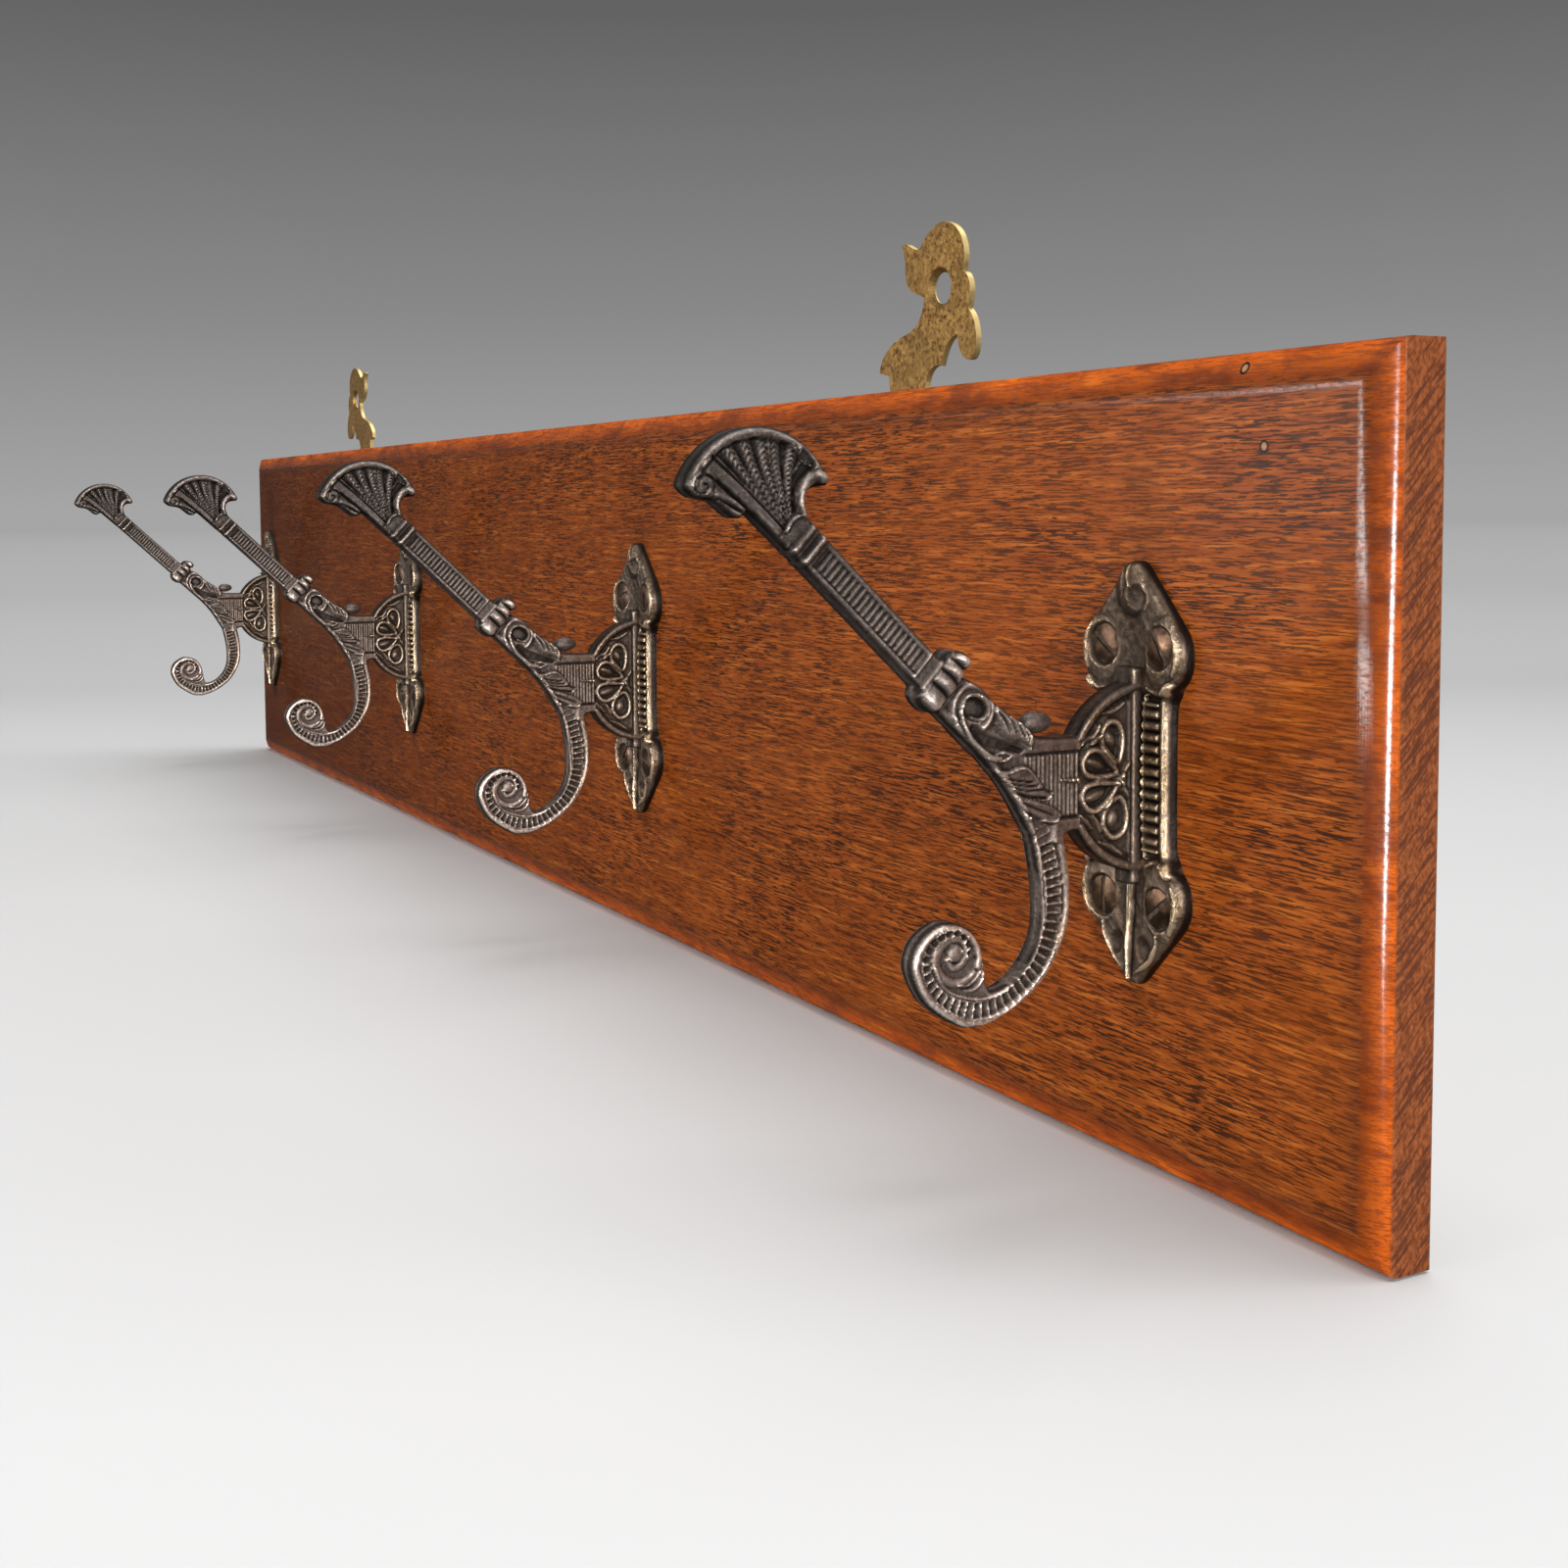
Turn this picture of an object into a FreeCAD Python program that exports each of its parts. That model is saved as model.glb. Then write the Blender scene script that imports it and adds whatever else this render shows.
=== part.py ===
"""Wall hook rack: a chamfered mahogany board with four cast hooks and two brass hangers.

Frame: millimetres, +X along the board, +Z up, and the wall lies at Y = 0. The origin is the
centre of the board's back face, and everything that faces the room is on the -Y side.

A hook is drawn in its own frame, whose origin is the centre of its backplate's back face.
Its side profile lies in that frame's YZ plane, so the outward reach is a negative Y.
"""

import FreeCAD, Part
import Sketcher
import math
import os

from FreeCAD import Placement, Rotation, Vector

DIMENSIONS = [
    # board
    ("board_length", 765.0, "length of the board"),
    ("board_height", 150.0, "height of the board"),
    ("board_thickness", 11.2, "thickness of the board"),
    ("chamfer_run", 5.5, "width of the edge chamfer on the front face"),
    ("chamfer_drop", 2.6, "depth of the edge chamfer on the board's sides"),
    ("pilot_floor", 1.0, "wood left behind a screw hole of a hook"),
    # hook backplate
    ("plate_thickness", 2.4, "thickness of a hook's backplate"),
    ("plate_waist", 20.0, "width of the backplate between its lobes"),
    ("lobe_radius", 7.0, "radius of a screw lobe"),
    ("screw_gap_x", 15.4, "distance between the two screws of a pair"),
    ("screw_gap_z", 47.6, "distance between the upper and the lower screws"),
    # hook arm
    ("web_thickness", 5.2, "thickness of the arm and of the curl"),
    ("web_radius", 17.6, "radius of the half-round web"),
    ("border_height", 40.0, "height of the raised border that joins web and plate"),
    ("border_depth", 4.5, "reach of that border from the board"),
    ("stem_angle", 136.6, "direction of the stem, from the outward axis of the profile"),
    ("stem_width", 6.2, "width of the stem in its profile"),
    ("collar_length", 5.6, "length of the rolled collar along the stem"),
    ("collar_height", 11.6, "height of the rolled collar across the stem"),
    ("collar_thickness", 8.4, "thickness of the rolled collar"),
    ("ring_thickness", 6.2, "thickness of the two thin rings under the shell"),
    ("shell_radius", 14.34, "radius of the shell's rim"),
    ("relief_depth", 0.7, "depth of the cast relief on each side"),
    ("knob_radius", 1.8, "radius of the small bud on the neck"),
    # hook screws
    ("screw_head", 7.4, "head diameter of a hook screw"),
    ("screw_shank", 4.0, "shank diameter of a hook screw"),
    ("screw_length", 12.0, "length of a hook screw"),
    ("screw_sink", 0.15, "depth of the head's rim below the plate"),
    ("screw_rim", 0.15, "height of a head's straight rim"),
    ("screw_dome", 0.35, "rise of a hook screw's domed head"),
    # hangers
    ("hanger_thickness", 1.4, "thickness of a brass hanger"),
    ("hanger_hole", 7.0, "diameter of the wall screw's hole"),
    ("hanger_sink", 9.2, "diameter of that hole's countersink"),
    ("hanger_hole_height", 97.5, "height of that hole above the board's centre"),
    ("hanger_tab_foot", -43.5, "lower end of the tab, below the hole"),
    ("hanger_screw_head", 4.6, "head diameter of a hanger screw"),
    ("hanger_screw_dome", 0.1, "rise of a hanger screw's nearly flat head"),
    ("hanger_screw_shank", 2.8, "shank diameter of a hanger screw"),
    ("hanger_screw_length", 8.5, "length of a hanger screw"),
    ("hanger_right_x", 241.0, "place of the right hanger's hole"),
    ("hanger_left_x", -229.0, "place of the left hanger's hole"),
    # places of the hooks, from right to left
    ("hook_place_one", 323.0, "place of the first hook"),
    ("hook_place_two", 99.5, "place of the second hook"),
    ("hook_place_three", -120.7, "place of the third hook"),
    ("hook_place_four", -352.0, "place of the fourth hook"),
    ("hook_drop", -0.5, "height of the hooks' centre above the board's centre"),
    # fits
    ("fit_gap", 0.08, "clearance round a screw or a let-in plate"),
    ("screw_slot", 1.1, "width of a screw's slot"),
    ("slot_depth", 1.0, "depth of a screw's slot"),
]

doc = FreeCAD.newDocument("WallHookRack")
sheet = doc.addObject("Spreadsheet::Sheet", "Sizes")
for row, (alias, number, meaning) in enumerate(DIMENSIONS, start=1):
    sheet.set(f"A{row}", meaning)
    sheet.set(f"B{row}", str(number))
    sheet.setAlias(f"B{row}", alias)
doc.recompute()


def size(alias):
    """The value of one driving dimension."""
    return float(sheet.get(alias))


def bind(item, **properties):
    """Bind properties of an object to expressions of the sheet's names."""
    for name, expression in properties.items():
        item.setExpression(name, expression)


# ---------------------------------------------------------------- sketch helpers


def new_body(label, place, rotation=None):
    body = doc.addObject("PartDesign::Body", label)
    body.Label = label
    body.Placement = Placement(place, rotation or Rotation())
    return body


def new_sketch(body, name, plane, lift=None):
    """A sketch on one of the body's own planes; lift is its distance, as an expression."""
    sketch = body.newObject("Sketcher::SketchObject", name)
    support = next(item for item in body.Origin.OriginFeatures if item.Role == plane)
    sketch.AttachmentSupport = [(support, "")]
    sketch.MapMode = "FlatFace"
    if lift is not None:
        sketch.setExpression("AttachmentOffset.Base.z", lift)
    return sketch


def add_outline(sketch, curves):
    """Add curves that follow each other, each held where it is."""
    for curve in curves:
        sketch.addConstraint(Sketcher.Constraint("Block", sketch.addGeometry(curve, False)))


def add_circle(sketch, x, y, expression, name):
    """A circle fixed at a place, whose diameter is bound to the sheet."""
    index = sketch.addGeometry(Part.Circle(Vector(x, y, 0), Vector(0, 0, 1), 1.0), False)
    sketch.addConstraint(Sketcher.Constraint("DistanceX", -1, 1, index, 3, x))
    sketch.addConstraint(Sketcher.Constraint("DistanceY", -1, 1, index, 3, y))
    bound = sketch.addConstraint(Sketcher.Constraint("Diameter", index, 2.0))
    sketch.renameConstraint(bound, name)
    sketch.setExpression(f"Constraints.{name}", expression)


def add_centred_rectangle(sketch, width, height):
    """A rectangle about the sketch's origin, with both sides bound to the sheet."""
    corners = [(-10, -10), (10, -10), (10, 10), (-10, 10)]
    sides = [line(corners[i], corners[(i + 1) % 4]) for i in range(4)]
    for side in sides:
        sketch.addGeometry(side, False)
    for i in range(4):
        sketch.addConstraint(Sketcher.Constraint("Coincident", i, 2, (i + 1) % 4, 1))
        sketch.addConstraint(Sketcher.Constraint(("Horizontal", "Vertical")[i % 2], i))
    sketch.addConstraint(Sketcher.Constraint("Symmetric", 0, 1, 1, 2, -1, 1))
    for name, kind, side, expression in (
        ("width", "DistanceX", 0, width),
        ("height", "DistanceY", 1, height),
    ):
        bound = sketch.addConstraint(Sketcher.Constraint(kind, side, 1, side, 2, 20.0))
        sketch.renameConstraint(bound, name)
        sketch.setExpression(f"Constraints.{name}", expression)


def at(point):
    return Vector(point[0], point[1], 0)


def line(start, end):
    return Part.LineSegment(at(start), at(end))


def arc(start, through, end):
    return Part.Arc(at(start), at(through), at(end))


def spline(points):
    curve = Part.BSplineCurve()
    curve.interpolate([at(point) for point in points])
    return curve


def polygon(corners):
    return [line(corners[i], corners[(i + 1) % len(corners)]) for i in range(len(corners))]


def pad(body, name, sketch, length, symmetric=False):
    feature = body.newObject("PartDesign::Pad", name)
    feature.Profile = sketch
    feature.SideType = "Symmetric" if symmetric else "One side"
    bind(feature, Length=length)
    return feature


def pocket(body, name, sketch, depth, outward=False):
    """Cut against the sketch's normal, or along it where outward is set."""
    feature = body.newObject("PartDesign::Pocket", name)
    feature.Profile = sketch
    feature.Reversed = outward
    bind(feature, Length=depth)
    return feature


def countersunk_holes(body, name, sketch, across, head, flipped=False):
    """Through holes with a 90 degree countersink at the sketch's side."""
    doc.recompute()
    hole = body.newObject("PartDesign::Hole", name)
    hole.Profile = sketch
    hole.Reversed = flipped
    hole.DepthType = "ThroughAll"
    hole.HoleCutType = "Countersink"
    hole.HoleCutCustomValues = True
    hole.HoleCutCountersinkAngle = 90.0
    bind(hole, Diameter=across, HoleCutDiameter=head)
    return hole


def mirror_relief(body, features):
    """Repeat the relief of the near side on the far side of the arm."""
    across = next(item for item in body.Origin.OriginFeatures if item.Role == "YZ_Plane")
    mirrored = body.newObject("PartDesign::Mirrored", body.Label + "_relief_far")
    mirrored.Originals = features
    mirrored.MirrorPlane = (across, [""])
    body.Tip = mirrored
    return mirrored


# ---------------------------------------------------------------- places

HOOK_PLACES = {
    "hook_1": size("hook_place_one"),
    "hook_2": size("hook_place_two"),
    "hook_3": size("hook_place_three"),
    "hook_4": size("hook_place_four"),
}
HANGER_PLACES = {
    "hanger_right": (size("hanger_right_x"), 1),
    "hanger_left": (size("hanger_left_x"), -1),
}
SCREW_CORNERS = {
    "upper_left": (-1, 1),
    "upper_right": (1, 1),
    "lower_left": (-1, -1),
    "lower_right": (1, -1),
}
# how far each driven screw's slot is turned from level, in degrees
SLOT_TURNS = {
    "hook_1": (-35.0, -58.0, 90.0, 40.0),
    "hook_2": (20.0, -70.0, 65.0, -15.0),
    "hook_3": (-50.0, 80.0, 10.0, 55.0),
    "hook_4": (35.0, -20.0, -75.0, 5.0),
}
# tab of a hanger, across and down from the wall screw's hole
TAB_LEFT, TAB_RIGHT = -20.8, -5.6
TAB_SCREWS = {"upper": -29.5, "lower": -38.5}
TAB_CORNER = 2.0


def screw_corner(corner):
    """A hook screw's place from the centre of its backplate."""
    side, level = SCREW_CORNERS[corner]
    return side * size("screw_gap_x") / 2, level * size("screw_gap_z") / 2


# ---------------------------------------------------------------- board


def make_board():
    body = new_body("board", Vector(0, 0, 0))
    face = new_sketch(body, "board_face", "XZ_Plane")
    add_centred_rectangle(face, "Sizes.board_length", "Sizes.board_height")
    blank = pad(body, "board_blank", face, "Sizes.board_thickness")
    doc.recompute()

    front = -size("board_thickness")
    chamfer = body.newObject("PartDesign::Chamfer", "board_chamfer")
    chamfer.Base = (blank, edges_at(blank.Shape, lambda p: abs(p.y - front) < 1e-6))
    chamfer.ChamferType = "Two distances"
    bind(chamfer, Size="Sizes.chamfer_run", Size2="Sizes.chamfer_drop")

    pilots = new_sketch(body, "board_pilots", "XZ_Plane", "Sizes.board_thickness")
    for name, x in HOOK_PLACES.items():
        for corner in SCREW_CORNERS:
            across, up = screw_corner(corner)
            up += size("hook_drop")
            label = f"{name}_{corner}"
            add_circle(pilots, x + across, up, "Sizes.screw_shank + Sizes.fit_gap", label)
    pocket(body, "board_pilot_holes", pilots, "Sizes.board_thickness - Sizes.pilot_floor")

    recess = new_sketch(body, "board_recess", "XZ_Plane")
    for x, side in HANGER_PLACES.values():
        add_outline(recess, polygon(recess_corners(x, side)))
    pocket(body, "board_recesses", recess, "Sizes.hanger_thickness", outward=True)

    tab_pilots = new_sketch(body, "board_tab_pilots", "XZ_Plane")
    for name, (x, side) in HANGER_PLACES.items():
        for level, down in TAB_SCREWS.items():
            centre = x + side * (TAB_LEFT + TAB_RIGHT) / 2
            up = size("hanger_hole_height") + down
            label = f"{name}_{level}"
            add_circle(tab_pilots, centre, up, "Sizes.hanger_screw_shank + Sizes.fit_gap", label)
    depth = "Sizes.hanger_screw_length + Sizes.fit_gap"
    pocket(body, "board_tab_pilot_holes", tab_pilots, depth, outward=True)
    return body


def edges_at(shape, test):
    """Names of the edges whose ends both pass the test."""
    names = []
    for index, edge in enumerate(shape.Edges, start=1):
        if all(test(vertex.Point) for vertex in edge.Vertexes):
            names.append(f"Edge{index}")
    return names


def recess_corners(x, side):
    """The let-in that takes a hanger's tab, open at the board's top edge."""
    gap = size("fit_gap")
    low = size("hanger_hole_height") + size("hanger_tab_foot") - gap
    high = size("board_height") / 2 + 1
    left = x + side * TAB_LEFT - side * gap
    right = x + side * TAB_RIGHT + side * gap
    return [(left, low), (right, low), (right, high), (left, high)]


# ---------------------------------------------------------------- hooks

PLATE_TIP = 39.2
PLATE_TIP_EDGE = (2.9, 38.0)
PLATE_SLOPE = (6.7, 34.2)
LOBE_TOP = 55.0
LOBE_END = -45.0
BUMP = (12.9, 16.2)
WAIST_TOP = 14.4

# side profile of the arm, outward reach (negative) and height from the plate's centre
STEM_OFFSET = -17.58
STEM_FOOT, STEM_HEAD = 43.4, 84.5
COLLAR_MIDDLE = 46.0
COLLAR_OFFSET = -16.45
RING_PLACES = (80.7, 83.6)
RING_WIDTH = 1.1
PANEL_FOOT, PANEL_HEAD = 52.2, 78.4
PANEL_WIDTH = 4.2
PANEL_RIBS = 20
PANEL_GAP_SHARE = 0.6
SHOULDER_TOP = [(-41.5, 20.4), (-34.6, 15.6), (-28.3, 11.3), (-24.8, 8.2)]
SHOULDER_UNDER = [(-27.7, -7.1), (-29.6, -4.0), (-33.3, 2.0), (-39.7, 8.5), (-46.5, 14.4)]
NECK_TOP, NECK_UNDER, NECK_ROOT = 8.1, -9.0, -12.0
WEB_CENTRE, WEB_ROOT = -0.8, -0.5
WEB_RIM, WEB_STEP = 1.8, 0.2
CURL_OUTER = [
    (-19.9, -9.0), (-17.8, -20.2), (-18.6, -27.2), (-22.1, -33.8), (-28.1, -38.9),
    (-35.3, -41.9), (-41.9, -41.2), (-48.2, -36.9), (-51.3, -30.9), (-50.1, -26.1),
    (-46.1, -23.2), (-40.9, -23.6), (-37.6, -26.6), (-36.8, -30.4), (-36.0, -34.4),
]  # fmt: skip
CURL_INNER = [
    (-36.0, -34.4), (-30.6, -34.0), (-26.4, -30.0), (-24.4, -22.5), (-25.4, -14.1), (-27.7, -7.1),
]  # fmt: skip
FLUTE_CENTRE = (-34.8, -24.0)
FLUTE_INNER, FLUTE_OUTER = 11.4, 14.6
FLUTE_FIRST, FLUTE_LAST = 12.0, -110.0
FLUTE_HALF_TURN = 1.4
FLUTE_COUNT = 22
SHELL_CENTRE = (-80.75, 48.45)
SHELL_FOCUS = (-72.4, 42.0)
SHELL_RAYS = (137.0, 126.5, 118.5, 110.5, 103.0, 96.0, 90.0)
SHELL_INNER, SHELL_RIM = 7.5, 2.0
RAY_HALF_TURN = 1.3
SHELL_LIP = [
    (-94.0, 54.0), (-93.8, 52.6), (-92.0, 51.2), (-88.5, 50.2), (-86.1, 48.5), (-84.1, 47.9),
    (-82.6, 48.4),
]  # fmt: skip
SHELL_NOTCH = [(-70.5, 46.7), (-72.1, 49.2), (-71.7, 51.8), (-70.0, 53.0), (-67.5, 53.9)]
SHELL_NECK = (-75.1, 42.3)
KNOB, KNOB_STRETCH = (-24.4, 11.0), 1.7


def along_stem(distance, offset):
    """A point of the profile from its distance along the stem and its offset across it."""
    angle = math.radians(size("stem_angle"))
    return (
        distance * math.cos(angle) + offset * math.sin(angle),
        distance * math.sin(angle) - offset * math.cos(angle),
    )


def stem_box(foot, head, offset, width):
    """Corners of a rectangle that lies along the stem."""
    half = width / 2
    places = [(foot, -half), (head, -half), (head, half), (foot, half)]
    return [along_stem(distance, offset + across) for distance, across in places]


def plate_quarter(side, level):
    """Outline of a quarter of the backplate, from its tip to its waist."""
    radius = size("lobe_radius")
    centre_x, centre_z = size("screw_gap_x") / 2, size("screw_gap_z") / 2 - 0.4

    def lobe(degrees):
        angle = math.radians(degrees)
        return centre_x + radius * math.cos(angle), centre_z + radius * math.sin(angle)

    waist = (size("plate_waist") / 2, WAIST_TOP)
    stations = [
        (PLATE_TIP_EDGE, PLATE_SLOPE, lobe(LOBE_TOP)),
        (lobe(LOBE_TOP), lobe((LOBE_TOP + LOBE_END) / 2), lobe(LOBE_END)),
        (lobe(LOBE_END), BUMP, waist),
    ]
    return [arc(*[(side * x, level * z) for x, z in station]) for station in stations]


def plate_outline():
    curves = []
    for level in (1, -1):
        ends = [(side * PLATE_TIP_EDGE[0], level * PLATE_TIP_EDGE[1]) for side in (-1, 1)]
        curves.append(arc(ends[0], (0, level * PLATE_TIP), ends[1]))
        for side in (1, -1):
            curves += plate_quarter(side, level)
    half = size("plate_waist") / 2
    for x in (half, -half):
        curves.append(line((x, WAIST_TOP), (x, -WAIST_TOP)))
    return curves


def half_disc(centre, radius, cut):
    """The outward part of a disc, closed by a straight side at reach cut."""
    rise = math.sqrt(radius**2 - (cut - centre) ** 2)
    ends = (cut, rise), (cut, -rise)
    return [arc(ends[0], (centre - radius, 0), ends[1]), line(ends[1], ends[0])]


def shell_outline():
    """The fan-shaped shell at the stem's end, with its curled left lip."""
    crown = (SHELL_CENTRE[0], SHELL_CENTRE[1] + size("shell_radius"))
    return [
        arc(SHELL_NOTCH[-1], crown, SHELL_LIP[0]),
        spline(SHELL_LIP),
        line(SHELL_LIP[-1], SHELL_NECK),
        line(SHELL_NECK, SHELL_NOTCH[0]),
        spline(SHELL_NOTCH),
    ]


def shell_gaps():
    """The sunk gaps between the shell's rays."""
    gaps = []
    rim = size("shell_radius") - SHELL_RIM
    for left, right in zip(SHELL_RAYS, SHELL_RAYS[1:]):
        corners = []
        for degrees in (left - RAY_HALF_TURN, right + RAY_HALF_TURN):
            angle = math.radians(degrees)
            direction = (math.cos(angle), math.sin(angle))
            corners.append((direction, ray_to_rim(direction, rim)))
        near = [point_from_focus(direction, SHELL_INNER) for direction, _ in corners]
        far = [point_from_focus(direction, reach) for direction, reach in corners]
        gaps.append(polygon([near[0], far[0], far[1], near[1]]))
    return gaps


def point_from_focus(direction, reach):
    return SHELL_FOCUS[0] + direction[0] * reach, SHELL_FOCUS[1] + direction[1] * reach


def ray_to_rim(direction, rim):
    """Distance from the shell's focus to its rim circle along a ray."""
    dx, dz = SHELL_FOCUS[0] - SHELL_CENTRE[0], SHELL_FOCUS[1] - SHELL_CENTRE[1]
    lean = dx * direction[0] + dz * direction[1]
    return -lean + math.sqrt(lean**2 - (dx**2 + dz**2 - rim**2))


def panel_slots():
    """The sunk spaces between the ribs of the stem's ladder panel."""
    pitch = (PANEL_HEAD - PANEL_FOOT) / PANEL_RIBS
    slots = []
    for step in range(PANEL_RIBS):
        foot = PANEL_FOOT + step * pitch
        head = foot + PANEL_GAP_SHARE * pitch
        slots.append(polygon(stem_box(foot, head, STEM_OFFSET, PANEL_WIDTH)))
    return slots


def curl_flutes():
    """Short grooves across the curl, square to a circle that follows its outer bend."""
    flutes = []
    for step in range(FLUTE_COUNT):
        middle = FLUTE_FIRST + (FLUTE_LAST - FLUTE_FIRST) * step / (FLUTE_COUNT - 1)
        corners = []
        for side, reach in ((-1, FLUTE_INNER), (-1, FLUTE_OUTER), (1, FLUTE_OUTER), (1, FLUTE_INNER)):
            angle = math.radians(middle + side * FLUTE_HALF_TURN)
            across, up = reach * math.cos(angle), reach * math.sin(angle)
            corners.append((FLUTE_CENTRE[0] + across, FLUTE_CENTRE[1] + up))
        flutes.append(polygon(corners))
    return flutes


def make_hook(label, x):
    body = new_body(label, Vector(x, -size("board_thickness"), size("hook_drop")))

    def profile(name, curves, thickness):
        sketch = new_sketch(body, f"{label}_{name}_sketch", "YZ_Plane")
        add_outline(sketch, curves)
        return pad(body, f"{label}_{name}", sketch, thickness, symmetric=True)

    plate = new_sketch(body, f"{label}_plate_sketch", "XZ_Plane")
    add_outline(plate, plate_outline())
    pad(body, f"{label}_plate", plate, "Sizes.plate_thickness")

    web = half_disc(WEB_CENTRE, size("web_radius"), WEB_ROOT)
    profile("web", web, "Sizes.web_thickness")
    half_border = size("border_height") / 2
    depth = size("border_depth")
    border = [(y, z) for z in (-half_border, half_border) for y in (WEB_ROOT, -depth)]
    border[2:] = border[:1:-1]
    profile("border", polygon(border), "Sizes.web_thickness")

    shoulder = SHOULDER_TOP + [(NECK_ROOT, NECK_TOP), (NECK_ROOT, NECK_UNDER), CURL_OUTER[0]]
    profile("shoulder", polygon(shoulder + SHOULDER_UNDER), "Sizes.web_thickness")
    curl = [spline(CURL_OUTER), spline(CURL_INNER), line(CURL_INNER[-1], CURL_OUTER[0])]
    profile("curl", curl, "Sizes.web_thickness")
    stem = stem_box(STEM_FOOT, STEM_HEAD, STEM_OFFSET, size("stem_width"))
    profile("stem", polygon(stem), "Sizes.web_thickness")
    profile("shell", shell_outline(), "Sizes.web_thickness")

    half_collar = size("collar_length") / 2
    foot, head = COLLAR_MIDDLE - half_collar, COLLAR_MIDDLE + half_collar
    collar = stem_box(foot, head, COLLAR_OFFSET, size("collar_height"))
    profile("collar", polygon(collar), "Sizes.collar_thickness")
    for number, place in enumerate(RING_PLACES, start=1):
        foot, head = place - RING_WIDTH / 2, place + RING_WIDTH / 2
        ring = stem_box(foot, head, STEM_OFFSET, size("stem_width"))
        profile(f"ring_{number}", polygon(ring), "Sizes.ring_thickness")

    knob = body.newObject("PartDesign::AdditiveEllipsoid", f"{label}_knob")
    knob.Placement = Placement(Vector(0, *KNOB), Rotation())
    long_radius = f"Sizes.knob_radius * {KNOB_STRETCH}"
    bind(knob, Radius1="Sizes.knob_radius", Radius2="Sizes.knob_radius", Radius3=long_radius)

    cuts = []
    for name, outlines in (
        ("panel", panel_slots()),
        ("rays", shell_gaps()),
        ("flutes", curl_flutes()),
        ("web_field", [half_disc(WEB_CENTRE, size("web_radius") - WEB_RIM, -depth - WEB_STEP)]),
    ):
        sketch = new_sketch(body, f"{label}_{name}_sketch", "YZ_Plane", "Sizes.web_thickness / 2")
        for outline in outlines:
            add_outline(sketch, outline)
        cuts.append(pocket(body, f"{label}_{name}", sketch, "Sizes.relief_depth"))
    mirror_relief(body, cuts)

    seats = new_sketch(body, f"{label}_seats_sketch", "XZ_Plane", "Sizes.plate_thickness")
    for corner in SCREW_CORNERS:
        across, up = screw_corner(corner)
        add_circle(seats, across, up, "Sizes.screw_shank + Sizes.fit_gap", corner)
    shank = "Sizes.screw_shank + Sizes.fit_gap"
    head = "Sizes.screw_head + 2 * (Sizes.screw_sink + Sizes.screw_rim + Sizes.fit_gap)"
    countersunk_holes(body, f"{label}_seats", seats, shank, head)
    return body


# ---------------------------------------------------------------- screws


# length of a screw's point for its shank's radius, and the dome's rise half way to the rim
POINT_SHARE = 1.6
DOME_AT_HALF = 0.75


def make_screw(label, kind, place, rotation):
    """A slotted countersunk wood screw; its shank points along the local +Y."""
    body = new_body(label, place, rotation)
    head_radius, shank_radius = size(f"{kind}_head") / 2, size(f"{kind}_shank") / 2
    dome, rim = size(f"{kind}_dome"), size("screw_rim")
    length = size(f"{kind}_length")
    neck = rim + head_radius - shank_radius
    taper = length - POINT_SHARE * shank_radius
    half = new_sketch(body, f"{label}_half", "XY_Plane")
    crown, edge = (0, -dome), (head_radius, 0)
    bulge = (head_radius / 2, -dome * DOME_AT_HALF)
    stations = [edge, (head_radius, rim), (shank_radius, neck), (shank_radius, taper), (0, length)]
    curves = [arc(crown, bulge, edge)]
    curves += [line(stations[i], stations[i + 1]) for i in range(len(stations) - 1)]
    curves.append(line(stations[-1], crown))
    add_outline(half, curves)
    turned = body.newObject("PartDesign::Revolution", f"{label}_turned")
    turned.Profile = half
    turned.ReferenceAxis = (half, ["V_Axis"])
    turned.Angle = 360.0

    slot = new_sketch(body, f"{label}_slot_sketch", "XZ_Plane", f"Sizes.{kind}_dome")
    add_centred_rectangle(slot, f"Sizes.{kind}_head + 1", "Sizes.screw_slot")
    pocket(body, f"{label}_slot", slot, "Sizes.slot_depth")
    return body


def make_hook_screws(name, x):
    screws = []
    seat = -size("board_thickness") - size("plate_thickness") + size("screw_sink")
    for corner, turn in zip(SCREW_CORNERS, SLOT_TURNS[name]):
        across, up = screw_corner(corner)
        place = Vector(x + across, seat, up + size("hook_drop"))
        # a positive turn lifts the slot's right end
        rotation = Rotation(Vector(0, -1, 0), turn)
        screws.append(make_screw(f"{name}_screw_{corner}", "screw", place, rotation))
    return screws


def make_hanger_screws(name, x, side):
    screws = []
    centre = x + side * (TAB_LEFT + TAB_RIGHT) / 2
    for level, turn in (("upper", 25.0), ("lower", 70.0)):
        up = size("hanger_hole_height") + TAB_SCREWS[level]
        place = Vector(centre, -size("hanger_screw_dome"), up)
        # the shank points into the board, away from the wall
        rotation = Rotation(Vector(0, 0, 1), 180.0).multiply(Rotation(Vector(0, 1, 0), turn))
        screws.append(make_screw(f"{name}_screw_{level}", "hanger_screw", place, rotation))
    return screws


# ---------------------------------------------------------------- hangers

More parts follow.
